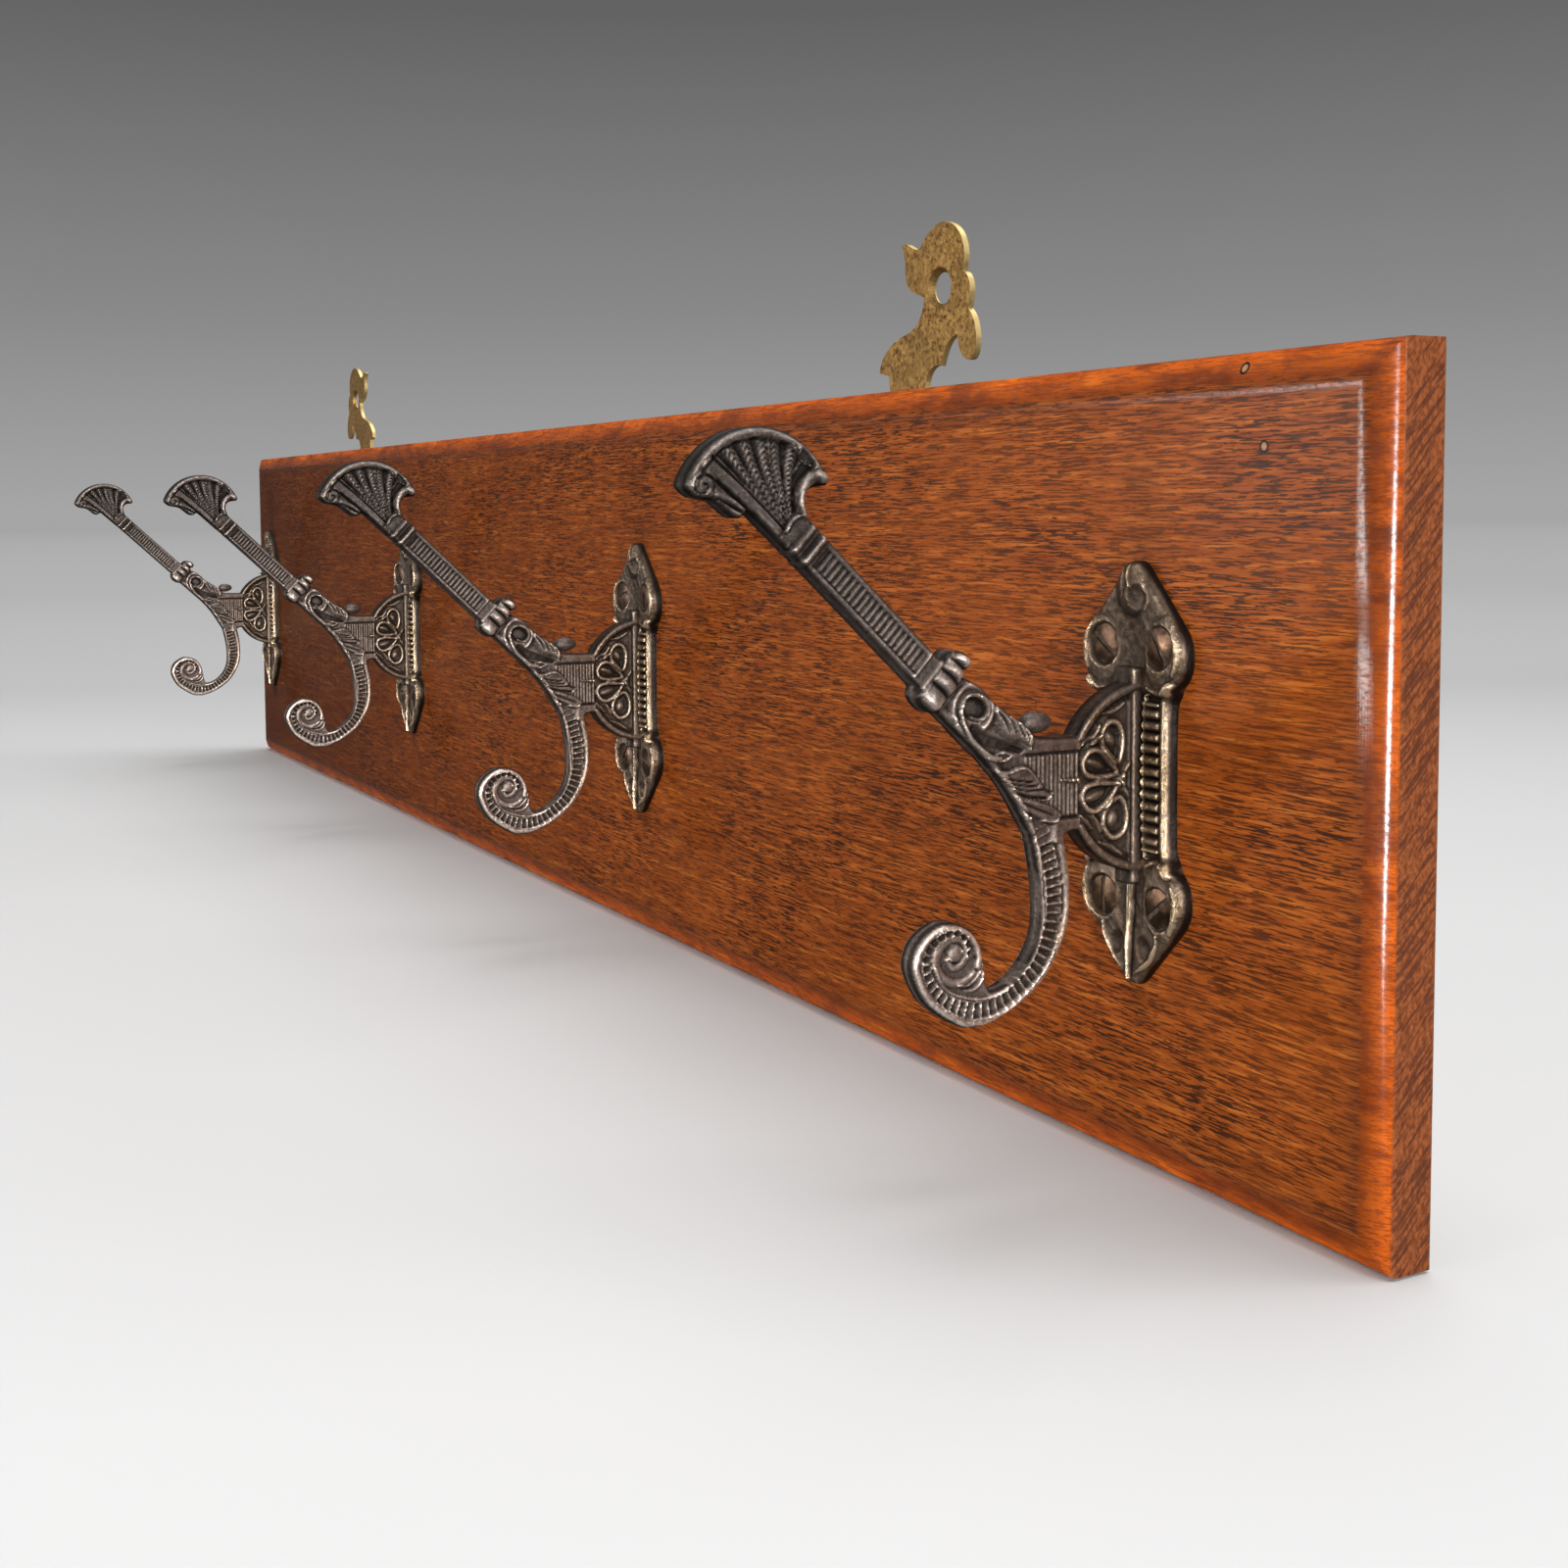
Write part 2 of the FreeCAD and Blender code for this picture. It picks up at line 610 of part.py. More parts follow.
# the leafy head of a right-hand hanger, from the wall screw's hole, cusp to cusp
HANGER_LEAVES = [
    [
        (-25.5, -17.3), (-24.3, -14.5), (-21.8, -12.2), (-17.8, -10.2), (-9.3, -7.3), (-7.5, -5.2),
        (-6.2, -1.6),
    ],
    [(-6.2, -1.6), (-9.3, -0.5), (-12.3, 0.9), (-13.8, 3.0), (-14.2, 5.8), (-15.9, 10.9)],
    [(-15.9, 10.9), (-14.6, 11.3), (-11.5, 10.2), (-7.5, 10.0)],
    [(-7.5, 10.0), (-2.3, 13.7), (1.7, 14.3), (5.2, 13.3), (8.2, 10.8), (9.6, 7.4), (9.0, 2.7)],
    [(9.0, 2.7), (11.0, 1.4), (11.9, -1.2), (11.6, -3.9), (11.0, -5.5)],
    [
        (11.0, -5.5), (13.0, -7.6), (14.2, -11.2), (14.1, -14.4), (12.6, -16.5), (10.2, -16.4),
        (8.4, -14.9), (7.0, -11.0),
    ],
    [(7.0, -11.0), (4.9, -11.3), (2.7, -13.1), (1.3, -15.3), (0.4, -17.3)],
    [(0.4, -17.3), (-3.3, -17.6), (-5.2, -19.5), (-5.6, -22.0)],
]  # fmt: skip
HANGER_FOOT_LEFT = [(-20.8, -22.0), (-21.2, -18.2), (-25.5, -17.3)]


def hanger_outline(side):
    foot = size("hanger_tab_foot")
    curves = [spline([(side * u, w) for u, w in leaf]) for leaf in HANGER_LEAVES]
    start, end = HANGER_LEAVES[-1][-1], HANGER_FOOT_LEFT[0]
    tab = [start, (TAB_RIGHT, foot + TAB_CORNER), (TAB_RIGHT - TAB_CORNER, foot)]
    tab += [(TAB_LEFT + TAB_CORNER, foot), (TAB_LEFT, foot + TAB_CORNER), end]
    stations = [(side * u, w) for u, w in tab + HANGER_FOOT_LEFT[1:]]
    curves += [line(stations[i], stations[i + 1]) for i in range(len(stations) - 1)]
    return curves


def make_hanger(name, x, side):
    body = new_body(name, Vector(x, 0, size("hanger_hole_height")))
    outline = new_sketch(body, f"{name}_outline", "XZ_Plane")
    add_outline(outline, hanger_outline(side))
    pad(body, f"{name}_sheet", outline, "Sizes.hanger_thickness")

    eye = new_sketch(body, f"{name}_eye", "XZ_Plane", "Sizes.hanger_thickness")
    add_circle(eye, 0, 0, "Sizes.hanger_hole", "eye")
    countersunk_holes(body, f"{name}_wall_hole", eye, "Sizes.hanger_hole", "Sizes.hanger_sink")

    seats = new_sketch(body, f"{name}_seats", "XZ_Plane")
    for level, down in TAB_SCREWS.items():
        across = side * (TAB_LEFT + TAB_RIGHT) / 2
        add_circle(seats, across, down, "Sizes.hanger_screw_shank + Sizes.fit_gap", level)
    shank = "Sizes.hanger_screw_shank + Sizes.fit_gap"
    sunk = "Sizes.hanger_screw_dome + Sizes.screw_rim + Sizes.fit_gap"
    head = f"Sizes.hanger_screw_head + 2 * ({sunk})"
    countersunk_holes(body, f"{name}_tab_holes", seats, shank, head, flipped=True)
    return body


# ---------------------------------------------------------------- build, check and export


def check_document():
    """Stop if any object failed to compute."""
    failed = [item.Name for item in doc.Objects if {"Invalid", "Error"} & set(item.State)]
    if failed:
        raise RuntimeError("failed objects: " + ", ".join(failed))


def check_solid(body):
    shape = body.Shape
    if shape.isNull() or not shape.isValid() or len(shape.Solids) != 1:
        raise RuntimeError(f"{body.Label} is not one valid solid")


def export(bodies):
    os.makedirs("parts", exist_ok=True)
    for body in bodies:
        check_solid(body)
    for body in bodies:
        body.Shape.exportStep(f"parts/{body.Label}.step")


def main():
    bodies = [make_board()]
    for name, x in HOOK_PLACES.items():
        bodies.append(make_hook(name, x))
        bodies += make_hook_screws(name, x)
    for name, (x, side) in HANGER_PLACES.items():
        bodies.append(make_hanger(name, x, side))
        bodies += make_hanger_screws(name, x, side)
    doc.recompute()
    check_document()
    export(bodies)


main()
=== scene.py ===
"""Wall hook rack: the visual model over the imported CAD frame. Metres, +X along the board,
+Y into the wall, +Z up. The casting's relief is drawn in millimetres and scaled at the end."""

import math

import bmesh
import bpy
import numpy as np
from mathutils import Matrix, Vector


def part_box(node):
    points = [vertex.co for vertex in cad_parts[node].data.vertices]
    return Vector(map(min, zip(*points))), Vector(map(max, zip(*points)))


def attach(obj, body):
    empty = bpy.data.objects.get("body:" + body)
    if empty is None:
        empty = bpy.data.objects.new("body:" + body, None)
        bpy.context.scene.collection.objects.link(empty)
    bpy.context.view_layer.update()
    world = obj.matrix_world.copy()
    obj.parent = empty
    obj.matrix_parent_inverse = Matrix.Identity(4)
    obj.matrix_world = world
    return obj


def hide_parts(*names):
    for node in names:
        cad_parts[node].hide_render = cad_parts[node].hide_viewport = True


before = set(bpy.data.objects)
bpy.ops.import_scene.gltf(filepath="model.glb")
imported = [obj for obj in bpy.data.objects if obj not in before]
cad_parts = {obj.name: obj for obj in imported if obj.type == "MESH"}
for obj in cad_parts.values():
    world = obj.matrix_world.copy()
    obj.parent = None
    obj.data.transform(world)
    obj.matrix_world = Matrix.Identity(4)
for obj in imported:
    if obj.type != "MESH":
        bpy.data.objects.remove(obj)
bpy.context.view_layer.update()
MM = 0.001

# ---- drawing in the arm's side plane
# y is the outward reach (negative), z the height, both in millimetres from the plate's centre.


def smooth(points, closed=False, step=0.35):
    """A dense polyline through the points, by Catmull-Rom."""
    pts = np.array(points, float)
    if closed:
        pts = np.vstack([pts[-1], pts, pts[0], pts[1]])
    else:
        pts = np.vstack([2 * pts[0] - pts[1], pts, 2 * pts[-1] - pts[-2]])
    out = []
    for a, b, c, d in zip(pts[:-3], pts[1:-2], pts[2:-1], pts[3:]):
        n = max(2, int(np.hypot(*(c - b)) / step))
        t = (np.arange(n) / n)[:, None]
        out.append(0.5 * (
            (2 * b) + (c - a) * t + (2 * a - 5 * b + 4 * c - d) * t**2 + (3 * b - a - 3 * c + d) * t**3))
    if not closed:
        out.append(pts[-2:-1])
    return np.vstack(out)


def chain(*curves):
    """Smooth curves, one after the other."""
    return np.vstack([smooth(points) for points in curves])


def nearest(P, line):
    """Distance of each point to a polyline, and how far along it (0 to 1) that is."""
    best = np.full(len(P), 1e9)
    along = np.zeros(len(P))
    lengths = np.hypot(*(line[1:] - line[:-1]).T)
    run = np.concatenate([[0], np.cumsum(lengths)])
    for i in range(len(line) - 1):
        a, d = line[i], line[i + 1] - line[i]
        if lengths[i] < 1e-9:
            continue
        t = np.clip(((P - a) @ d) / lengths[i] ** 2, 0, 1)
        dist = np.hypot(*(P - a - t[:, None] * d).T)
        hit = dist < best
        best[hit] = dist[hit]
        along[hit] = (run[i] + t[hit] * lengths[i]) / run[-1]
    return best, along


def inside_depth(P, outline):
    """Signed distance to a closed outline, positive inside; far outside it is just low."""
    ring = np.vstack([outline, outline[:1]])
    near = np.all((P > ring.min(0) - 1) & (P < ring.max(0) + 1), axis=1)
    result = np.full(len(P), -9.0)
    P = P[near]
    depth, _ = nearest(P, ring)
    odd = np.zeros(len(P), bool)
    for a, b in zip(ring[:-1], ring[1:]):
        if a[1] == b[1]:
            continue
        crosses = (a[1] > P[:, 1]) != (b[1] > P[:, 1])
        odd ^= crosses & (P[:, 0] < (b[0] - a[0]) * (P[:, 1] - a[1]) / (b[1] - a[1]) + a[0])
    result[near] = np.where(odd, depth, -depth)
    return result


def hump(place, power=1.0):
    """Height 1 at place 0, falling to 0 at -1 and 1; a lower power makes it fuller."""
    return np.clip(1 - place**2, 0, 1) ** power


def stroke(P, points, widths, power=0.5, closed=False):
    """A rounded ridge of height 1 along a curve; its width changes along the curve."""
    line = smooth(points, closed)
    if closed:
        line = np.vstack([line, line[:1]])
    reach = max(widths) / 2
    near = np.all((P > line.min(0) - reach) & (P < line.max(0) + reach), axis=1)
    out = np.zeros(len(P))
    dist, along = nearest(P[near], line)
    half = np.interp(along, np.linspace(0, 1, len(widths)), widths) / 2
    out[near] = hump(dist / half, power)
    return out


def strokes(P, rows):
    """Several strokes at once: a ridge has a height above 0, and a groove one below 0."""
    return sum(height * stroke(P, *shape) for height, *shape in rows)


def step_in(depth, run):
    """0 at an edge, rising smoothly to 1 at a depth of run inside it."""
    t = np.clip(depth / run, 0, 1)
    return t * t * (3 - 2 * t)


def bump(P, centre, radii, turn=0.0, power=0.5):
    """A dome of height 1."""
    c, s = math.cos(turn), math.sin(turn)
    dy, dz = (P - centre).T
    u, v = (dy * c + dz * s) / radii[0], (-dy * s + dz * c) / radii[1]
    return np.clip(1 - u * u - v * v, 0, 1) ** power


def ribs(place, pitch, sharp=0.5):
    """Rounded ribs of height 1, one each pitch."""
    phase = (place / pitch) % 1.0 - 0.5
    return hump(phase * 2, sharp)


# ---- outlines

STEM = math.radians(136.6)
STEM_MIDDLE = -17.58


def stem_point(s, o):
    return (s * math.cos(STEM) + o * math.sin(STEM), s * math.sin(STEM) - o * math.cos(STEM))


def stem_places(P):
    """Distance along the stem and offset across it."""
    y, z = P.T
    return (y * math.cos(STEM) + z * math.sin(STEM),
            y * math.sin(STEM) - z * math.cos(STEM) - STEM_MIDDLE)


def circle(centre, radius, start, end, count=24):
    a = np.radians(np.linspace(start, end, count))
    return centre + radius * np.stack([np.cos(a), np.sin(a)], 1)


FAN, FAN_RADIUS = (-80.75, 48.45), 14.34
WEB, WEB_RADIUS = (-0.8, -0.2), 17.6

SHELL = np.vstack([circle(FAN, FAN_RADIUS, 22.5, 157.0, 60), chain(
    [(-94.1, 53.4), (-93.8, 52.6), (-92.2, 51.4), (-88.6, 50.6), (-85.6, 48.3), (-84.1, 47.9),
     (-83.0, 48.6), (-81.9, 48.6)],
    [(-81.5, 48.2), (-75.1, 42.3)],
    [(-70.5, 46.6), (-71.4, 48.0), (-72.1, 50.2), (-71.8, 51.7), (-70.6, 52.8), (-68.0, 53.2)],
)])
BAR = np.array([stem_point(s, o) for s, o in (
    (43.0, STEM_MIDDLE - 3.1), (84.5, STEM_MIDDLE - 3.1), (84.5, STEM_MIDDLE + 3.1),
    (43.0, STEM_MIDDLE + 3.1))])
COLLAR = smooth([
    (-50.0, 18.6), (-47.3, 21.2), (-44.2, 24.2), (-42.6, 24.7), (-40.7, 24.2), (-39.4, 22.9),
    (-39.8, 21.6), (-41.0, 21.0), (-40.9, 19.9), (-42.4, 19.0), (-43.2, 17.2), (-44.9, 15.9),
    (-45.6, 14.2), (-47.6, 14.2), (-49.7, 15.9)], closed=True)
SHOULDER = chain(
    [(-43.5, 21.8), (-41.5, 20.4), (-37.8, 18.5), (-34.6, 15.6), (-31.5, 13.3), (-28.6, 11.6),
     (-26.4, 9.4), (-24.8, 8.5), (-21.9, 8.2), (-15.7, 8.1)],
    [(-15.7, -9.0), (-17.5, -9.0), (-18.9, -9.6), (-19.6, -10.6)],
    [(-25.6, -10.6), (-26.6, -8.2), (-33.7, 2.3), (-46.5, 14.6)],
)
CURL = chain(
    [(-25.2, -8.0), (-25.4, -10.8), (-23.9, -19.5), (-24.4, -28.0), (-28.7, -34.2), (-33.8, -36.2),
     (-35.3, -35.4), (-35.9, -33.4), (-36.2, -31.2)],
    [(-36.6, -29.2), (-37.3, -27.2), (-38.8, -25.0), (-40.9, -23.6), (-43.5, -23.0), (-46.1, -23.2),
     (-50.2, -26.1), (-51.3, -30.9), (-48.2, -36.9), (-41.9, -41.4), (-38.7, -42.1), (-35.3, -41.9),
     (-28.1, -39.0), (-22.1, -33.8), (-18.5, -27.2), (-17.8, -23.7), (-17.8, -16.3), (-19.0, -9.6),
     (-20.0, -6.5)],
)
DISC = np.vstack([circle(WEB, WEB_RADIUS, 90.0, 270.0, 60), [(-0.4, -17.8), (-0.4, 17.4)]])
STRIP = np.array([(-4.4, -20.0), (-0.4, -20.0), (-0.4, 20.0), (-4.4, 20.0)])

# ---- relief of one side of the arm

BODY = 2.6  # half the thickness of the casting


def shell_relief(P, depth):
    level = BODY - 0.25
    # sunk field behind the rays, bounded by the rim, the flat first rib and the right scroll
    field = chain(
        [(-88.7, 58.2), (-86.5, 60.0), (-79.8, 61.3), (-72.8, 59.6), (-70.6, 57.6), (-70.0, 56.2)],
        [(-71.4, 55.4), (-73.3, 53.4), (-73.9, 51.0), (-73.6, 49.0), (-75.0, 47.9), (-75.9, 46.2)],
    )
    sunk = step_in(inside_depth(P, field), 0.5)
    level -= 0.95 * sunk
    rays = [
        [(-76.0, 46.7), (-79.3, 50.3), (-83.6, 55.4), (-86.6, 59.6)],
        [(-75.7, 47.2), (-78.3, 50.9), (-81.4, 55.7), (-83.3, 60.6)],
        [(-75.4, 47.6), (-77.0, 50.9), (-79.1, 55.7), (-80.0, 60.8)],
        [(-75.0, 48.0), (-76.0, 51.0), (-77.3, 55.7), (-77.9, 60.6)],
        [(-74.6, 48.4), (-75.0, 51.0), (-75.0, 55.7), (-73.9, 59.8)],
    ]
    for ray in rays:
        dist, along = nearest(P, smooth(ray))
        half = 0.4 + 0.95 * along
        ridge = hump(dist / half, 0.5)
        notch = ribs(13.5 * along + 0.9 * dist, 0.95, 0.7)
        level += sunk * ridge * (0.45 + 0.45 * notch)
    # thick flat first rib and the groove on each side of it
    level += strokes(P, (
        (0.35, [(-89.9, 56.4), (-84.0, 51.9), (-77.3, 45.9)], (2.2, 1.5), 0.3),
        (-0.55, [(-89.2, 57.9), (-83.4, 53.0), (-76.2, 46.1)], (0.55, 0.4), 1),
        (-0.55, [(-88.3, 53.9), (-85.2, 51.3), (-82.4, 48.9)], (0.7, 0.5), 1),
        # rim
        (0.5, circle(FAN, FAN_RADIUS - 0.95, 24, 158, 16), (2.1, 2.1), 0.4),
        (-0.35, circle(FAN, FAN_RADIUS - 2.1, 120, 154, 10), (0.8, 0.5), 1),
        # dark facet at the right, a pyramid sunk into the field
        (0.55, [(-73.2, 59.4), (-72.6, 57.2), (-70.3, 56.2)], (0.5, 0.5), 1),
        (0.5, [(-74.0, 55.2), (-72.6, 57.2)], (0.6, 0.4), 1),
        # right scroll
        (0.75, [(-68.6, 54.4), (-70.6, 54.6), (-72.3, 53.0), (-72.8, 50.6), (-72.2, 48.4)],
         (2.0, 2.2, 1.7, 1.5), 0.6),
        # left volute, cut into a dome
        (-0.5, [(-88.9, 52.0), (-88.9, 53.9), (-90.4, 54.9), (-92.0, 54.3), (-92.5, 52.9), (-91.5, 51.9),
                (-90.3, 52.3), (-90.2, 53.3), (-91.0, 53.5)], (0.55, 0.35), 1),
        # ridged lip under the volute
        (0.35, [(-88.6, 51.9), (-86.0, 50.9), (-83.6, 49.4)], (1.1, 0.8), 0.6),
        (-0.45, [(-88.2, 51.1), (-86.2, 50.1), (-83.8, 48.9)], (0.45, 0.4), 1),
        (0.25, [(-87.6, 50.3), (-85.6, 49.0), (-83.9, 48.3)], (1.0, 0.7), 0.6),
        # crescent cap where the rays meet, over a boss
        (0.6, [(-75.9, 45.7), (-75.2, 47.1), (-74.1, 48.0), (-72.6, 48.4)], (0.7, 0.8, 0.6), 0.7),
    ))
    level += 0.55 * bump(P, (-90.8, 53.2), (2.5, 2.3))
    level += 0.55 * bump(P, (-73.6, 45.9), (2.4, 2.5), STEM)
    return level - 0.8 * (1 - step_in(depth, 0.7))


PANEL = (51.4, 79.0)  # where the beaded panel starts and ends along the stem


def bar_relief(P, depth):
    s, o = stem_places(P)
    level = BODY - 0.1
    panel = np.minimum(np.minimum(s - PANEL[0], PANEL[1] - s), 2.15 - np.abs(o + 0.05))
    inset = step_in(panel, 0.35)
    level -= 0.8 * inset
    level += 0.6 * inset * ribs(s - PANEL[0], 1.26, 0.6) * step_in(2.05 - np.abs(o), 0.35)
    seam = [stem_point(51.3, STEM_MIDDLE + side) for side in (-2.6, 2.6)]
    level += 0.3 * stroke(P, seam, (0.6, 0.6))
    for place in (80.35, 83.1):
        level += 0.55 * hump((s - place) / 0.62, 0.5) - 0.3 * hump((s - place - 0.95) / 0.4)
    level += 0.5 * hump((s - 48.6) / 0.55, 0.5)
    return level - 0.55 * (1 - step_in(depth, 0.5))


PETAL_EDGES = (-9.7, -12.9, -15.5, -18.4, -23.2)


def collar_relief(P, depth):
    s, o = stem_places(P)
    o = o + STEM_MIDDLE
    bulge = hump((s - 45.4) / np.where(s > 45.4, 3.0, 1.8), 0.5)
    petals = np.zeros(len(P))
    for top, low in zip(PETAL_EDGES, PETAL_EDGES[1:]):
        middle, half = (top + low) / 2, (top - low) / 2
        petals = np.maximum(petals, hump((o - middle) / half, 0.5))
    level = BODY - 0.5 + bulge * (0.35 + 1.75 * petals)
    level += 0.35 * hump((s - 48.3) / 0.45, 0.5)
    return level - (1.5 * bulge + 0.3) * (1 - step_in(depth, 1.2) ** 0.7)


SECOND_LEAF = chain(
    [(-36.0, 4.2), (-33.2, 3.2), (-30.6, 3.0), (-28.3, 3.6), (-26.6, 2.8), (-23.6, -0.7), (-21.8, -1.7)],
    [(-22.2, -2.6), (-24.0, -2.4), (-27.2, -1.9), (-29.8, -0.9), (-32.0, 0.8)],
)
THIRD_LEAF = chain(
    [(-30.6, -1.2), (-27.2, -2.5), (-23.8, -3.5), (-21.3, -4.7), (-19.6, -5.9)],
    [(-20.8, -6.9), (-22.7, -7.0), (-25.0, -6.0), (-27.6, -4.6), (-29.2, -3.2)],
)


def shoulder_relief(P, depth):
    y, z = P.T
    level = BODY - 0.75
    # neck: smooth borders above and below a reeded field
    neck = step_in(y + 29.5, 3.0)
    top = step_in(z - 5.6, 0.35) * neck
    low = step_in(-6.4 - z, 0.4) * step_in(y + 22.5, 1.5)
    level += 0.65 * np.maximum(top, low)
    reeds = step_in(y + 29.0, 1.5) * step_in(5.4 - z, 0.4) * step_in(z + 6.3, 0.4) * step_in(-15.4 - y, 0.3)
    leaves = np.maximum(inside_depth(P, SECOND_LEAF), inside_depth(P, THIRD_LEAF))
    level += 0.42 * reeds * ribs(y, 0.93, 0.7) * (1 - step_in(leaves + 0.35, 0.3))
    level += strokes(P, (
        (0.5, [(-20.1, 0.55), (-18.6, 0.4), (-17.0, 0.3), (-15.7, 0.2)], (0.15, 0.8, 1.3), 1),
        # outer lip that follows the silhouette
        (0.45, [(-45.5, 14.6), (-43.4, 12.9), (-33.2, 3.0), (-27.1, -5.8), (-25.9, -8.4)],
         (1.9, 1.5, 1.4), 0.5),
        # scroll with a hollow eye
        (0.5, [(-42.6, 12.6), (-42.9, 14.8), (-42.0, 17.0), (-40.1, 18.4), (-37.9, 18.2), (-36.0, 17.0),
               (-34.9, 15.2), (-34.8, 13.4), (-35.6, 11.8), (-36.6, 10.9)], (1.0, 1.1, 0.9), 0.6),
        (0.8, [(-38.9, 12.9), (-37.5, 12.4), (-36.2, 13.0), (-35.7, 14.4), (-36.4, 15.9),
               (-38.2, 16.7), (-40.0, 16.5), (-41.2, 15.2), (-41.4, 13.3), (-39.3, 9.0),
               (-35.3, 6.0), (-33.0, 5.5)], (0.5, 0.8, 0.9, 0.85, 0.7), 0.6),
        # channel under the scroll
        (-0.75, [(-38.6, 11.0), (-36.6, 9.0), (-33.6, 7.9), (-30.6, 7.0), (-28.6, 6.3)],
         (1.8, 2.6, 2.0, 1.1), 0.8),
        # first long leaf, with its pointed tip
        (0.55, [(-42.4, 11.8), (-40.4, 9.0), (-37.8, 6.7), (-32.8, 4.9), (-30.5, 5.6)],
         (0.9, 1.0, 1.1, 0.5), 0.7),
        (0.35, [(-36.2, 5.7), (-34.2, 5.1), (-32.4, 4.9), (-30.4, 5.7)], (0.5, 0.9, 0.4), 0.7),
        (0.65, [(-34.0, 6.1), (-32.0, 6.2), (-30.5, 5.7)], (0.5, 0.6, 0.3), 0.7),
        # edges of the veined leaf
        (0.35, [(-33.9, 11.6), (-32.3, 9.4), (-30.4, 8.5), (-28.6, 7.7), (-26.9, 6.5)],
         (0.5, 0.7, 0.4), 0.8),
        (0.35, [(-28.9, 11.4), (-27.1, 9.6), (-26.5, 7.9), (-26.9, 6.6)], (0.4, 0.7, 0.5), 0.8),
        # edges of the long S leaves that lie over the neck
        (0.65, [(-33.6, 3.0), (-31.2, 2.8), (-28.5, 3.4), (-26.6, 2.6), (-24.0, -0.4)],
         (0.4, 0.7, 0.8, 0.7, 0.4), 0.7),
        (0.6, [(-24.2, -2.8), (-22.6, -2.6), (-21.8, -1.7)], (0.35, 0.6, 0.5), 0.7),
        (0.6, [(-29.6, -1.6), (-26.4, -2.8), (-23.4, -3.7), (-21.2, -4.8), (-19.7, -5.9)],
         (0.4, 0.7, 0.6, 0.4), 0.7),
        (-0.4, [(-28.6, -2.8), (-25.4, -4.2), (-21.6, -5.7)], (0.4, 0.5, 0.3), 1),
        (0.5, [(-24.0, -6.5), (-21.8, -6.9), (-20.0, -6.1)], (0.35, 0.6, 0.5), 0.7),
    ))
    level += 0.35 * bump(P, (-38.9, 14.6), (5.4, 4.7), -0.7, 0.4)
    level -= 1.6 * bump(P, (-38.5, 14.4), (2.7, 2.3), -0.6)
    # surfaces and veins of the leaves
    blade = chain(
        [(-34.7, 14.6), (-33.3, 14.9), (-31.2, 13.3), (-28.7, 11.7), (-27.0, 9.8), (-26.4, 8.1),
         (-26.9, 6.6)],
        [(-27.6, 7.2), (-28.8, 7.9), (-32.2, 9.3), (-34.2, 12.2)],
    )
    level += 0.75 * step_in(inside_depth(P, blade), 0.5)
    for leaf in (SECOND_LEAF, THIRD_LEAF):
        level += 0.6 * step_in(inside_depth(P, leaf), 0.45)
    for vein in (
        [(-34.2, 13.6), (-32.8, 11.9), (-31.6, 9.6)],
        [(-33.8, 14.1), (-31.6, 12.1), (-30.2, 9.3)],
        [(-33.2, 14.3), (-30.4, 12.0), (-28.6, 8.8)],
        [(-32.4, 14.1), (-29.4, 11.7), (-27.6, 8.2)],
    ):
        shifted = [(a + 0.42, b + 0.25) for a, b in vein]
        level += 0.3 * stroke(P, vein, (0.55, 0.6, 0.35), 0.8)
        level -= 0.3 * stroke(P, shifted, (0.35, 0.4, 0.3), 1)
    for vein in (
        [(-33.4, 2.0), (-29.4, 1.1), (-25.8, 0.6)],
        [(-32.6, 1.2), (-28.8, 0.2), (-24.9, -0.2)],
        [(-31.6, 0.4), (-28.2, -0.7), (-23.8, -0.9)],
    ):
        level -= 0.4 * stroke(P, vein, (0.35, 0.45, 0.3), 1)
    return level - 0.6 * (1 - step_in(depth, 0.6))


# middle lines of the curl: the band's flutes, its outer border, and the scroll round the eye
FLUTES = [
    (-24.2, -7.6), (-23.2, -10.4), (-21.4, -18.0), (-21.6, -25.6), (-24.8, -32.6), (-31.0, -37.6),
    (-34.8, -38.9), (-38.6, -39.0), (-42.2, -37.9), (-45.2, -36.0), (-47.2, -33.6), (-48.2, -31.0),
    (-48.1, -28.4), (-46.9, -26.3), (-44.9, -25.0), (-42.6, -24.7), (-40.8, -25.6), (-39.8, -27.3),
    (-39.6, -29.2)]
BORDER = [
    (-20.6, -8.0), (-19.7, -11.6), (-18.4, -20.2), (-19.4, -27.4), (-22.9, -33.6), (-25.6, -36.2),
    (-32.1, -40.0), (-35.4, -41.0), (-38.7, -41.2), (-41.6, -40.5), (-47.6, -36.2), (-50.4, -30.9),
    (-50.2, -28.6), (-49.3, -26.6), (-47.7, -25.0), (-45.7, -24.1), (-43.4, -23.8), (-41.2, -24.4),
    (-39.4, -25.6), (-38.1, -27.4), (-37.5, -29.4), (-37.7, -31.2)]
INNER_LINE = [
    (-25.6, -9.4), (-24.5, -13.0), (-23.6, -22.0), (-23.9, -26.4), (-25.2, -30.2), (-27.4, -33.2),
    (-30.3, -35.4), (-33.6, -36.8), (-37.2, -37.1), (-40.6, -36.4), (-43.6, -35.1), (-45.9, -32.8),
    (-46.9, -30.4)]
SCROLL = [
    (-44.1, -29.3), (-42.9, -30.9), (-41.2, -30.3), (-40.3, -28.6), (-41.0, -26.7), (-42.9, -25.9),
    (-44.9, -26.4), (-46.3, -28.4), (-46.4, -30.4), (-45.0, -32.4), (-42.8, -33.6), (-40.4, -33.4),
    (-38.6, -32.2)]
FLUTE_PITCH = 1.62


